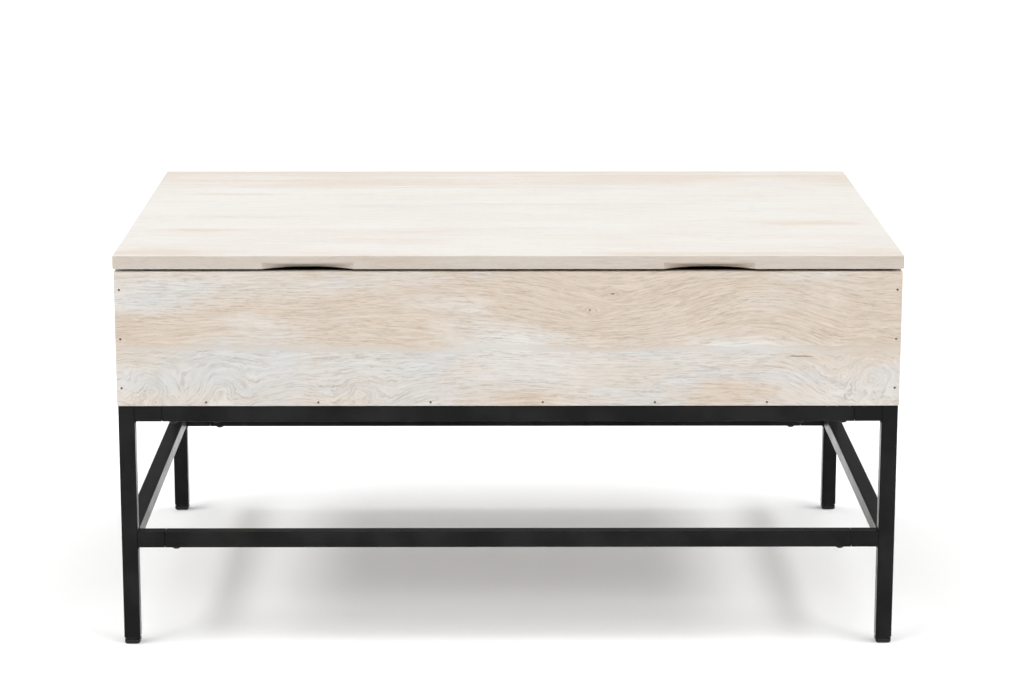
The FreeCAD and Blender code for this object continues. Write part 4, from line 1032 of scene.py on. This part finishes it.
class LIFT_TABLE_OT_box(bpy.types.Operator):
    """Build the four panels of the storage box, their nail holes, knots and crack"""
    bl_idname = "lift_table.box"
    bl_label = "Box Panels"
    bl_options = {"REGISTER", "UNDO"}

    def execute(self, context):
        wood = context.scene.lift_table.wood
        low, high = box_of("box_front_panel")
        size = high - low
        marks = panel_marks(low[1], wood)
        knots = []
        for right, up, half_width, half_height in FRONT_KNOTS:
            spot = (low[0] + right * size[0], low[2] + up * size[2])
            marks.append((*spot, half_width * MM, half_height * MM, 0.9 * MM))
            knots.append(((*spot, 0), (0.022, 0.010, 1), 0.7, 0.25, 0.0))
        right, up, half_width, half_height = FRONT_CRACK
        marks.append((low[0] + right * size[0], low[2] + up * size[2], half_width * MM,
                      half_height * MM, 1.3 * MM))
        for right, up, wide, tall, *bend in FRONT_FIGURE:
            knots.append(((low[0] + right * size[0], low[2] + up * size[2], 0), (wide, tall, 1), *bend))
        patches = [((low[0] + right * size[0], low[2] + up * size[2], 0), (wide, tall, 1), changes)
                   for right, up, wide, tall, changes in FRONT_PATCHES]
        finish = washed_wood("Front panel", wood, UPRIGHT_X, (0.3, 0.9, 0.0), (0.54, 0.42, 0.34),
                             knots=knots, patches=patches,
                             joint=(low[2] + FRONT_JOINT * size[2], (0.38, 0.46, 0.48)))
        shape, dark = plain_board("box_front_panel", "X", wood, 100, marks=marks, marked_side="low")
        piece("box_front_planed", [shape], "root", finish, ["box_front_panel"], hollow=dark)
        back_face = box_of("box_back_panel")[1][1]
        finish = washed_wood("Back panel", wood, UPRIGHT_X, (4.3, 2.2, 1.0), (0.50, 0.48, 0.42))
        shape, dark = plain_board("box_back_panel", "X", wood, 200, marked_side="high",
                                  marks=panel_marks(back_face, wood))
        piece("box_back_planed", [shape], "root", finish, ["box_back_panel"], hollow=dark)
        for k, side in enumerate(SIDES):
            node = "box_" + side + "_panel"
            finish = washed_wood(side.capitalize() + " panel", wood, UPRIGHT_Y,
                                 (6.1 + 2.4 * k, 3.3, 2.0 + k), (0.52, 0.48, 0.42))
            shape, dark = plain_board(node, "Y", wood, 300 + 50 * k,
                                      marked_side="low" if side == "left" else "high")
            piece("box_" + side + "_planed", [shape], "root", finish, [node], hollow=dark)
        return {"FINISHED"}


class LIFT_TABLE_OT_inner_wood(bpy.types.Operator):
    """Build the plywood bottom and the two hardwood cleats under the lid"""
    bl_idname = "lift_table.inner_wood"
    bl_label = "Bottom and Cleats"
    bl_options = {"REGISTER", "UNDO"}

    def execute(self, context):
        wood = context.scene.lift_table.wood
        plywood = ((0.54, 0.51, 0.475), (0.58, 0.56, 0.54), (0.61, 0.60, 0.585), (0.56, 0.56, 0.555),
                   (0.30, 0.24, 0.19))
        finish = washed_wood("Plywood bottom", wood, LEVEL, (8.0, 1.0, 3.0), (0.5, 0.4, 0.3), 0.9,
                             tones=plywood)
        shape, dark = plain_board("box_bottom_panel", "X", wood, 400, radius=0.3 * MM, step=20 * MM)
        piece("box_bottom_planed", [shape], "root", finish, ["box_bottom_panel"],
              hollow=dark)
        hardwood = ((0.55, 0.40, 0.25), (0.64, 0.50, 0.34), (0.68, 0.55, 0.39), (0.60, 0.48, 0.34),
                    (0.28, 0.18, 0.10))
        for k, side in enumerate(SIDES):
            finish = washed_wood(side.capitalize() + " cleat", wood, (0.0, 0.0, math.pi / 2),
                                 (9.0 + k, 2.0, 4.0), (0.5, 0.4, 0.3), 0.9, tones=hardwood)
            shape, dark = plain_board(side + "_lid_cleat", "Y", wood, 500 + 20 * k, radius=1.5 * MM)
            piece(side + "_cleat_planed", [shape], "lid", finish, [side + "_lid_cleat"],
                  hollow=dark)
        return {"FINISHED"}


class LIFT_TABLE_OT_nails(bpy.types.Operator):
    """Set the finishing nails of the box corners and of the bottom"""
    bl_idname = "lift_table.nails"
    bl_label = "Finishing Nails"
    bl_options = {"REGISTER", "UNDO"}

    def execute(self, context):
        wood = context.scene.lift_table.wood
        steel = plated_steel("Nail steel", (0.16, 0.14, 0.12), (0.07, 0.05, 0.04), 0.7, 0.5)
        for node in ("corner_brads", "bottom_brads"):
            solids = solids_of(node)
            reach = solids[0][1][1] - solids[0][0][1]
            shank = (solids[0][1][0] - solids[0][0][0]) / 2
            head = wood.nail_head
            tip = reach - wood.nail_sink
            profile = [(0, 0.25 * MM, 0), (head * 0.45, 0.12 * MM, 0), (head * 0.85, 0, 0),
                       (head, 0.15 * MM, 0), (head, 0.9 * MM, 0), (shank, 1.6 * MM, 0),
                       (shank, tip - 2 * MM, 0), (0.1 * shank, tip, 0)]
            spots = []
            for low, high in solids:
                middle = (low + high) / 2
                inward = 1 if middle[1] < 0 else -1
                start = low[1] if inward > 0 else high[1]
                spots.append(((middle[0], start + inward * wood.nail_sink, middle[2]), (0, inward, 0)))
            piece(node + "_set", aimed(turned(profile, 16), spots), "root", steel, [node])
        return {"FINISHED"}


# ---------------------------------------------------------------- base

class LIFT_TABLE_OT_tubes(bpy.types.Operator):
    """Powder coat the legs, rails and stubs, and blacken the hidden sleeves"""
    bl_idname = "lift_table.tubes"
    bl_label = "Base Tubes"
    bl_options = {"REGISTER", "UNDO"}

    def execute(self, context):
        steel = context.scene.lift_table.steel
        coat = powder_coat("Black powder coat", steel)
        tubes = [row["node"] for row in SUBPARTS if row["material_slot"] == "black_steel"]
        for node in tubes:
            if "rail" in node and not node.startswith("side"):
                softened(node, "root", coat, steel.tube_ease)
            elif node != "frame_welds":
                coat_node(node, coat)
        blackened = plated_steel("Blackened steel", (0.02, 0.02, 0.02), (0.01, 0.008, 0.006), 0.5, 0.5)
        coat_node("rail_sleeves", blackened)
        return {"FINISHED"}


def weld_bead(reach, steel):
    """A weld bead in the corner of two faces, along its own Y. Its section is the corner, the two
    faces and the hollow arc between them; the arc is pushed out by ripples that lag towards its
    middle, and every section shrinks to the corner over the last millimetre at each end."""
    place = np.linspace(-reach / 2, reach / 2, 70)
    arc = np.radians(np.linspace(270, 180, 9))
    hollow = steel.weld_radius
    fade = smooth((reach / 2 - np.abs(place)) / (1.2 * MM))[:, None]
    lag = 0.9 * MM * np.cos((arc - arc[4]) * 2)
    ripple = steel.weld_ripple * np.cos((place[:, None] + lag) * TURN / (1.7 * MM))
    ripple = ripple * (0.8 + 0.4 * wander(place, 3, 4 * MM))[:, None] * np.sin((arc - arc[0]) * 2) ** 2
    size = hollow * (0.35 + 0.65 * fade)
    a = size * (1 + np.cos(arc)) + ripple * np.cos(arc + math.pi) * fade
    b = size * (1 + np.sin(arc)) + ripple * np.sin(arc + math.pi) * fade
    corner = np.zeros((len(place), 1))
    a = np.concatenate([corner, a], 1)
    b = np.concatenate([corner, b], 1)
    return skin(np.stack([a, np.broadcast_to(place[:, None], a.shape), b], -1))


class LIFT_TABLE_OT_welds(bpy.types.Operator):
    """Lay a rippled weld bead in each corner between the legs and the rails"""
    bl_idname = "lift_table.welds"
    bl_label = "Weld Beads"
    bl_options = {"REGISTER", "UNDO"}

    def execute(self, context):
        steel = context.scene.lift_table.steel
        coat = powder_coat("Powder coat on welds", steel)
        shapes = []
        undersides = [box_of("front_rail_" + level)[0][2] for level in ("top", "low")]
        for low, high in solids_of("frame_welds"):
            middle = (low + high) / 2
            size = high - low
            across = 0 if size[0] < size[1] else 1
            points, faces = weld_bead(size[1 - across], steel)
            under = any(abs(high[2] - level) < 0.1 * MM for level in undersides)
            corner = middle.copy()
            away = -1 if middle[across] > 0 else 1
            corner[across] = low[across] if away > 0 else high[across]
            corner[2] = high[2] if under else low[2]
            grown = np.zeros_like(points)
            grown[:, across] = points[:, 0] * away
            grown[:, 1 - across] = points[:, 1]
            grown[:, 2] = points[:, 2] * (-1 if under else 1)
            shapes.append((grown + corner, faces))
        piece("weld_beads", shapes, "root", coat, ["frame_welds"], sharp_angle=50)
        return {"FINISHED"}


def dome(radius, height, inner, rim, count=8):
    """Profile of a domed head: a quarter ellipse from the inner radius down to the rim."""
    start = math.asin(inner / radius)
    angle = np.linspace(start, math.pi / 2, count)
    return [(radius * math.sin(t), rim + (height - rim) * math.cos(t) / math.cos(start), 0) for t in angle]


class LIFT_TABLE_OT_bolts(bpy.types.Operator):
    """Turn the button-head bolts under the rails and the pan-head screws into the box"""
    bl_idname = "lift_table.bolts"
    bl_label = "Rail Bolts and Box Screws"
    bl_options = {"REGISTER", "UNDO"}

    def execute(self, context):
        steel = context.scene.lift_table.steel
        black = plated_steel("Black oxide", (0.030, 0.030, 0.032), (0.012, 0.012, 0.013), 0.6, 0.36)
        # Head radius, head height and shank radius, then the recess: its figure, reach and bottom.
        heads = {"rail_bolts": (5.5, 3.3, 3.0, hexagon, steel.socket_width / 2 / MM, 1.4),
                 "box_screws": (4.0, 1.8, 2.0, cross_recess, 2.3, 0.7)}
        for node, (radius, height, shank, figure, recess, bottom) in heads.items():
            solids = solids_of(node)
            reach = (solids[0][1][2] - solids[0][0][2]) / MM - height
            profile = [(0, bottom - 0.15, 1), (recess * 0.9, bottom, 1), (recess, height * 0.93, 1)]
            profile += dome(radius, height, recess * 1.22, 0.35)
            profile += [(radius * 0.97, 0, 0), (shank, 0, 0), (shank, -reach + 0.6, 0),
                        (shank * 0.7, -reach, 0), (0, -reach, 0)]
            points, faces = turned(profile, 48, figure)
            spots = [(((low + high)[0] / 2, (low + high)[1] / 2, low[2] + height * MM), (0, 0, -1))
                     for low, high in solids]
            shapes = aimed((points * MM, faces), spots)
            piece(node + "_turned", shapes, "root", black, [node])
        return {"FINISHED"}


class LIFT_TABLE_OT_glides(bpy.types.Operator):
    """Mould the plastic glides that plug into the legs"""
    bl_idname = "lift_table.glides"
    bl_label = "Foot Glides"
    bl_options = {"REGISTER", "UNDO"}

    def execute(self, context):
        steel = context.scene.lift_table.steel
        plastic = moulded("Glide plastic", (0.004, 0.004, 0.004), (0.007, 0.007, 0.007), 0.34, 0.15, 0.3)
        for node in [name for name in frame["nodes"] if name.startswith("foot_glide")]:
            shape = glide(node, steel.glide_groove)
            piece(node + "_moulded", [shape], "root", plastic, [node])
        return {"FINISHED"}


def glide(node, groove):
    """A glide: rounded squares stacked up Z. The half-size grows along a quarter circle from the
    floor, is drawn in at the groove under the leg and steps in to the plug with its three barbs."""
    low, high = box_of(node)
    leg_low = box_of(node.replace("foot_glide", "leg"))[0][2]
    half = (high[0] - low[0]) / 2
    body = half - 0.4 * MM
    plug = half - 1.8 * MM
    turn = np.radians(np.linspace(0, 90, 8))
    foot = 2.6 * MM
    levels = [(low[2] + foot * (1 - math.cos(t)), body - foot * (1 - math.sin(t))) for t in turn]
    levels += [(leg_low - 2.4 * MM, body), (leg_low - 2.1 * MM, body - 0.3 * MM),
               (leg_low - 1.9 * MM, half - groove), (leg_low - 0.4 * MM, half - groove),
               (leg_low - 0.3 * MM, half - 0.3 * MM), (leg_low, half - 0.1 * MM),
               (leg_low, plug - 0.4 * MM)]
    for k in range(3):
        start = leg_low + 3.2 * k * MM
        levels += [(start + 1.5 * MM, plug), (start + 3.6 * MM, plug - 0.35 * MM),
                   (start + 3.8 * MM, plug - 0.5 * MM)]
    levels.append((high[2], plug - 1.2 * MM))
    rise, size = np.array(levels).T
    corner = np.minimum(2.4 * MM, size * 0.3)
    inner = size - corner
    corners = [(-inner, -inner, corner, 180, 270), (inner, -inner, corner, 270, 360),
               (inner, inner, corner, 0, 90), (-inner, inner, corner, 90, 180)]
    a, b = outline(corners, [[0.5]] * 4)
    middle = (low + high) / 2
    return skin(np.stack([a + middle[0], b + middle[1], np.broadcast_to(rise[:, None], a.shape)], -1))


class LIFT_TABLE_OT_bumpers(bpy.types.Operator):
    """Stick the rubber bumpers on the box, under the closed lid"""
    bl_idname = "lift_table.bumpers"
    bl_label = "Lid Bumpers"
    bl_options = {"REGISTER", "UNDO"}

    def execute(self, context):
        rubber = moulded("Bumper rubber", (0.50, 0.50, 0.48), (0.60, 0.60, 0.58), 0.35, 0.1, 0.5)
        solids = solids_of("lid_bumpers")
        radius = (solids[0][1][0] - solids[0][0][0]) / 2
        height = solids[0][1][2] - solids[0][0][2]
        profile = [(0, 0, 0), (radius * 0.96, 0, 0), (radius, height * 0.12, 0),
                   (radius * 0.97, height * 0.30, 0)]
        profile += [(radius * (0.62 + 0.35 * math.cos(t)), height * (0.30 + 0.70 * math.sin(t)), 0)
                    for t in np.radians(np.linspace(15, 90, 7))]
        profile.append((0, height, 0))
        spots = [(((low + high)[0] / 2, (low + high)[1] / 2, low[2]), (0, 0, 1)) for low, high in solids]
        piece("lid_bumpers_moulded", aimed(turned(profile, 40), spots), "root", rubber,
              ["lid_bumpers"])
        return {"FINISHED"}


# ---------------------------------------------------------------- lift fittings

class LIFT_TABLE_OT_fittings(bpy.types.Operator):
    """Finish the pressed plates, arms and brackets, and their pins and washers"""
    bl_idname = "lift_table.fittings"
    bl_label = "Plates, Arms, Pins"
    bl_options = {"REGISTER", "UNDO"}

    def execute(self, context):
        fitting = context.scene.lift_table.fitting
        sheet = plated_steel("Zinc plated sheet", fitting.plated, (0.44, 0.45, 0.42), 0.55, 0.30)
        bright = plated_steel("Zinc plated pins", (0.68, 0.68, 0.67), (0.50, 0.50, 0.46), 0.40, 0.24)
        for row in SUBPARTS:
            node = row["node"]
            if row["material_slot"] == "plated_steel":
                softened(node, BODIES[node], sheet, fitting.sheet_ease)
            elif row["material_slot"] == "plated_fasteners" and not node.endswith("screws"):
                softened(node, BODIES[node], bright, fitting.sheet_ease / 2)
        return {"FINISHED"}


class LIFT_TABLE_OT_screws(bpy.types.Operator):
    """Drive the pan-head screws of the plates, cleats and brackets"""
    bl_idname = "lift_table.screws"
    bl_label = "Wood Screws"
    bl_options = {"REGISTER", "UNDO"}

    def execute(self, context):
        bright = plated_steel("Zinc plated screws", (0.66, 0.66, 0.64), (0.46, 0.45, 0.38), 0.5, 0.26)
        for node in ("base_plate_screws", "cleat_screws", "bracket_screws"):
            spots = []
            along = 0 if node.startswith("base") else 2
            for low, high in solids_of(node):
                middle = (low + high) / 2
                # A plate screw's head faces the middle of the box, a lid screw's head faces down.
                way = -1 if along == 2 or middle[0] > 0 else 1
                direction = np.zeros(3)
                direction[along] = way
                spot = middle.copy()
                spot[along] = high[along] if way > 0 else low[along]
                spots.append((spot, direction))
                reach = high[along] - low[along]
            shape = wood_screw(reach)
            piece(node + "_driven", aimed(shape, spots), BODIES[node], bright, [node])
        return {"FINISHED"}


def wood_screw(reach):
    """A pan-head screw from the top of its head down -Z: cross recess, dome, shank with rings of
    thread, and point."""
    head, height, shank = 4.0, 1.8, 2.0
    root, pitch = shank * 0.72, 0.9
    long = reach / MM
    profile = [(0, -1.25, 1), (0.9, -1.15, 1), (2.2, -0.10, 1)]
    profile += [(r, z - height, 0) for r, z, _ in dome(head, height, 2.45, 0.3)]
    profile += [(head * 0.97, -height, 0), (shank, -height, 0)]
    for level in np.arange(height + 1.2, long - 2.5, pitch):
        profile += [(root, -level, 0), (shank, -level - 0.35, 0), (root, -level - 0.5, 0)]
    profile += [(shank * 0.5, -long + 1.2, 0), (0, -long, 0)]
    points, faces = turned(profile, 32, cross_recess)
    return points * MM, faces


def spring_path(length_between, fitting):
    """Line of an extension spring up Z, from the middle of one hook's loop to the middle of the other.

    The coil is a helix. At each end the wire leaves it along its own direction, follows a cubic curve
    across to the axis and closes a loop of five sixths of a turn round the hook's middle, in the plane
    through the axis. The side vectors point away from the axis, then from the loop's middle.
    """
    radius = fitting.coil_radius
    inner_reach = 3.3 * MM  # inner side of a hook from the middle of its pin
    grip = 2 * radius - fitting.wire_radius - inner_reach
    coil = length_between - 2 * grip
    turns = fitting.coil_turns
    angle = np.linspace(0, TURN * turns, 22 * turns + 1)
    helix = np.stack([radius * np.cos(angle), radius * np.sin(angle),
                      grip + fitting.wire_radius + (coil - 2 * fitting.wire_radius) * angle / angle[-1]], 1)
    out = np.stack([np.cos(angle), np.sin(angle), np.zeros_like(angle)], 1)
    loops = []
    for top in (0, 1):
        flip = np.array([1, 1, -1]) if top else np.array([1, 1, 1])
        start = helix[-1] if top else helix[0]
        leave = np.array([0, 1.0, 0]) if top else np.array([0, -1.0, 0])
        level = length_between if top else 0.0
        middle = np.array([0, 0, level + (-1 if top else 1) * (grip - radius)])
        swing = np.radians(np.linspace(90, 390, 46))
        loop = middle + radius * np.stack([np.cos(swing), 0 * swing, np.sin(swing)], 1) * flip
        t = np.linspace(0, 1, 14)[:, None]
        reach = 0.9 * radius
        first, last = start + leave * reach, loop[0] + np.array([reach, 0, 0])
        cross = ((1 - t) ** 3 * start + 3 * (1 - t) ** 2 * t * first + 3 * (1 - t) * t ** 2 * last
                 + t ** 3 * loop[0])
        away = np.stack([np.cos(swing), 0 * swing, np.sin(swing)], 1) * flip
        turn_out = (1 - t) * np.array([1.0, 0, 0]) + t * away[0]
        path = np.concatenate([cross[1:], loop[1:]])
        side = np.concatenate([turn_out[1:], away[1:]])
        loops.append((path, side))
    (low_path, low_side), (high_path, high_side) = loops
    path = np.concatenate([low_path[::-1], helix, high_path])
    side = np.concatenate([low_side[::-1], out, high_side])
    return path, side


class LIFT_TABLE_OT_springs(bpy.types.Operator):
    """Wind the two extension springs, which shorten as the lid lifts"""
    bl_idname = "lift_table.springs"
    bl_label = "Lift Springs"
    bl_options = {"REGISTER", "UNDO"}

    def execute(self, context):
        fitting = context.scene.lift_table.fitting
        steel = plated_steel("Spring wire", (0.40, 0.40, 0.41), (0.18, 0.17, 0.16), 0.5, 0.26)
        joints = {joint["name"]: joint for joint in frame["joints"]}
        anchor = np.array(joints["spring_swing"]["pos_m"])
        for side in SIDES:
            low, high = box_of(side + "_lift_spring")
            tails = [box for box in solids_of("spring_tail_pins")
                     if (box[0][0] < 0) == (side == "left")]
            tail = (tails[0][0] + tails[0][1]) / 2
            start = np.array([(low[0] + high[0]) / 2, anchor[1], anchor[2]])
            end = np.array([start[0], tail[1], tail[2]])
            span = np.linalg.norm(end - start)
            path, out = spring_path(span, fitting)
            turn = np.array(Vector(end - start).to_track_quat("Z", "Y").to_matrix())
            shape = wire(path @ turn.T + start, out @ turn.T, fitting.wire_radius)
            made = piece(side + "_spring_wound", [shape], "springs", steel,
                         [side + "_lift_spring"], sharp_angle=60)
            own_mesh(made)
        return {"FINISHED"}


# ---------------------------------------------------------------- stage

class LIFT_TABLE_OT_stage(bpy.types.Operator):
    """Lay the pale floor, hang the soft light and stand the camera"""
    bl_idname = "lift_table.stage"
    bl_label = "Floor, Light, Camera"
    bl_options = {"REGISTER", "UNDO"}

    def execute(self, context):
        stage = context.scene.lift_table.stage
        half = stage.floor_size / 2
        mesh = bpy.data.meshes.new("floor")
        mesh.from_pydata([(-half, -half, 0), (half, -half, 0), (half, half, 0), (-half, half, 0)], [],
                         [(0, 1, 2, 3)])
        floor = bpy.data.objects.new("floor", mesh)
        context.scene.collection.objects.link(floor)
        mesh.materials.append(floor_paper("Floor paper", stage.floor_tone))
        self.add_light(context, stage)
        self.add_camera(context, stage)
        context.scene.view_settings.view_transform = "Standard"
        return {"FINISHED"}

    def add_light(self, context, stage):
        """White all round, with a bright strip on each side of overhead. A strip is where the lean to
        the side and the lean to the front are both within its half-sizes, with soft borders."""
        world = bpy.data.worlds.new("Studio")
        world.use_nodes = True
        wiring = Wiring(world.node_tree)
        x, y, z = wiring.add("SeparateXYZ", wiring.add("TexCoord").outputs["Generated"]).outputs
        lean = wiring.maths("ARCTAN2", wiring.maths("ABSOLUTE", x), z)
        aside = wiring.maths("ABSOLUTE", wiring.maths("SUBTRACT", lean, stage.strip_lean))
        front = wiring.maths("ARCSINE", wiring.maths("MULTIPLY", y, -1.0))
        ahead = wiring.maths("ABSOLUTE", wiring.maths("SUBTRACT", front, stage.strip_front))
        inside, outside = 0.7, 1.3
        across = wiring.span(aside, stage.strip_width * inside, stage.strip_width * outside, 1.0, 0.0)
        along = wiring.span(ahead, stage.strip_reach * inside, stage.strip_reach * outside, 1.0, 0.0)
        glow = wiring.maths("MULTIPLY", wiring.maths("MULTIPLY", across, along), stage.strip_strength)
        background = world.node_tree.nodes["Background"]
        background.inputs["Color"].default_value = (1.0, 1.0, 1.0, 1.0)
        sky = wiring.span(wiring.maths("ABSOLUTE", y), 0.45, 0.9, stage.sky_strength,
                          stage.sky_strength * (1 - stage.dark_ends))
        wiring.put(background.inputs["Strength"], wiring.maths("ADD", glow, sky))
        context.scene.world = world

    def add_camera(self, context, stage):
        """The camera's axes: pan about Z, tilt down about its own X, then roll about its view."""
        tilt, pan, roll = stage.camera_turn
        turn = (Matrix.Rotation(-pan, 3, "Z") @ Matrix.Rotation(math.pi / 2 - tilt, 3, "X")
                @ Matrix.Rotation(roll, 3, "Z"))
        lens = bpy.data.cameras.new("Camera")
        lens.lens = stage.lens
        lens.sensor_width = 36.0
        lens.sensor_fit = "HORIZONTAL"
        camera = bpy.data.objects.new("Camera", lens)
        camera.matrix_world = Matrix.Translation(stage.camera_place) @ turn.to_4x4()
        context.scene.collection.objects.link(camera)
        context.scene.camera = camera


# ---------------------------------------------------------------- add-on

OPERATORS = (LIFT_TABLE_OT_lid, LIFT_TABLE_OT_box, LIFT_TABLE_OT_inner_wood, LIFT_TABLE_OT_nails,
             LIFT_TABLE_OT_tubes, LIFT_TABLE_OT_welds, LIFT_TABLE_OT_bolts, LIFT_TABLE_OT_glides,
             LIFT_TABLE_OT_bumpers, LIFT_TABLE_OT_fittings, LIFT_TABLE_OT_screws, LIFT_TABLE_OT_springs,
             LIFT_TABLE_OT_stage)


class LIFT_TABLE_PT_sidebar(bpy.types.Panel):
    """Buttons and settings of the coffee table"""
    bl_label = "Coffee Table"
    bl_idname = "LIFT_TABLE_PT_sidebar"
    bl_space_type = "VIEW_3D"
    bl_region_type = "UI"
    bl_category = "Coffee Table"

    def draw(self, context):
        settings = context.scene.lift_table
        for operator in OPERATORS:
            self.layout.operator(operator.bl_idname)
        for group in (settings.wood, settings.steel, settings.fitting, settings.stage):
            box = self.layout.box()
            for name in group.__annotations__:
                box.prop(group, name)


CLASSES = (TableWoodSettings, TableSteelSettings, TableFittingSettings, TableStageSettings, TableSettings,
           *OPERATORS, LIFT_TABLE_PT_sidebar)


def register():
    for one in CLASSES:
        bpy.utils.register_class(one)
    bpy.types.Scene.lift_table = bpy.props.PointerProperty(type=TableSettings)


def unregister():
    del bpy.types.Scene.lift_table
    for one in reversed(CLASSES):
        bpy.utils.unregister_class(one)


def main():
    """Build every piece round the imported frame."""
    register()
    make_groups()
    for operator in OPERATORS:
        group, name = operator.bl_idname.split(".")
        getattr(getattr(bpy.ops, group), name)()


if __name__ == "__main__":
    main()
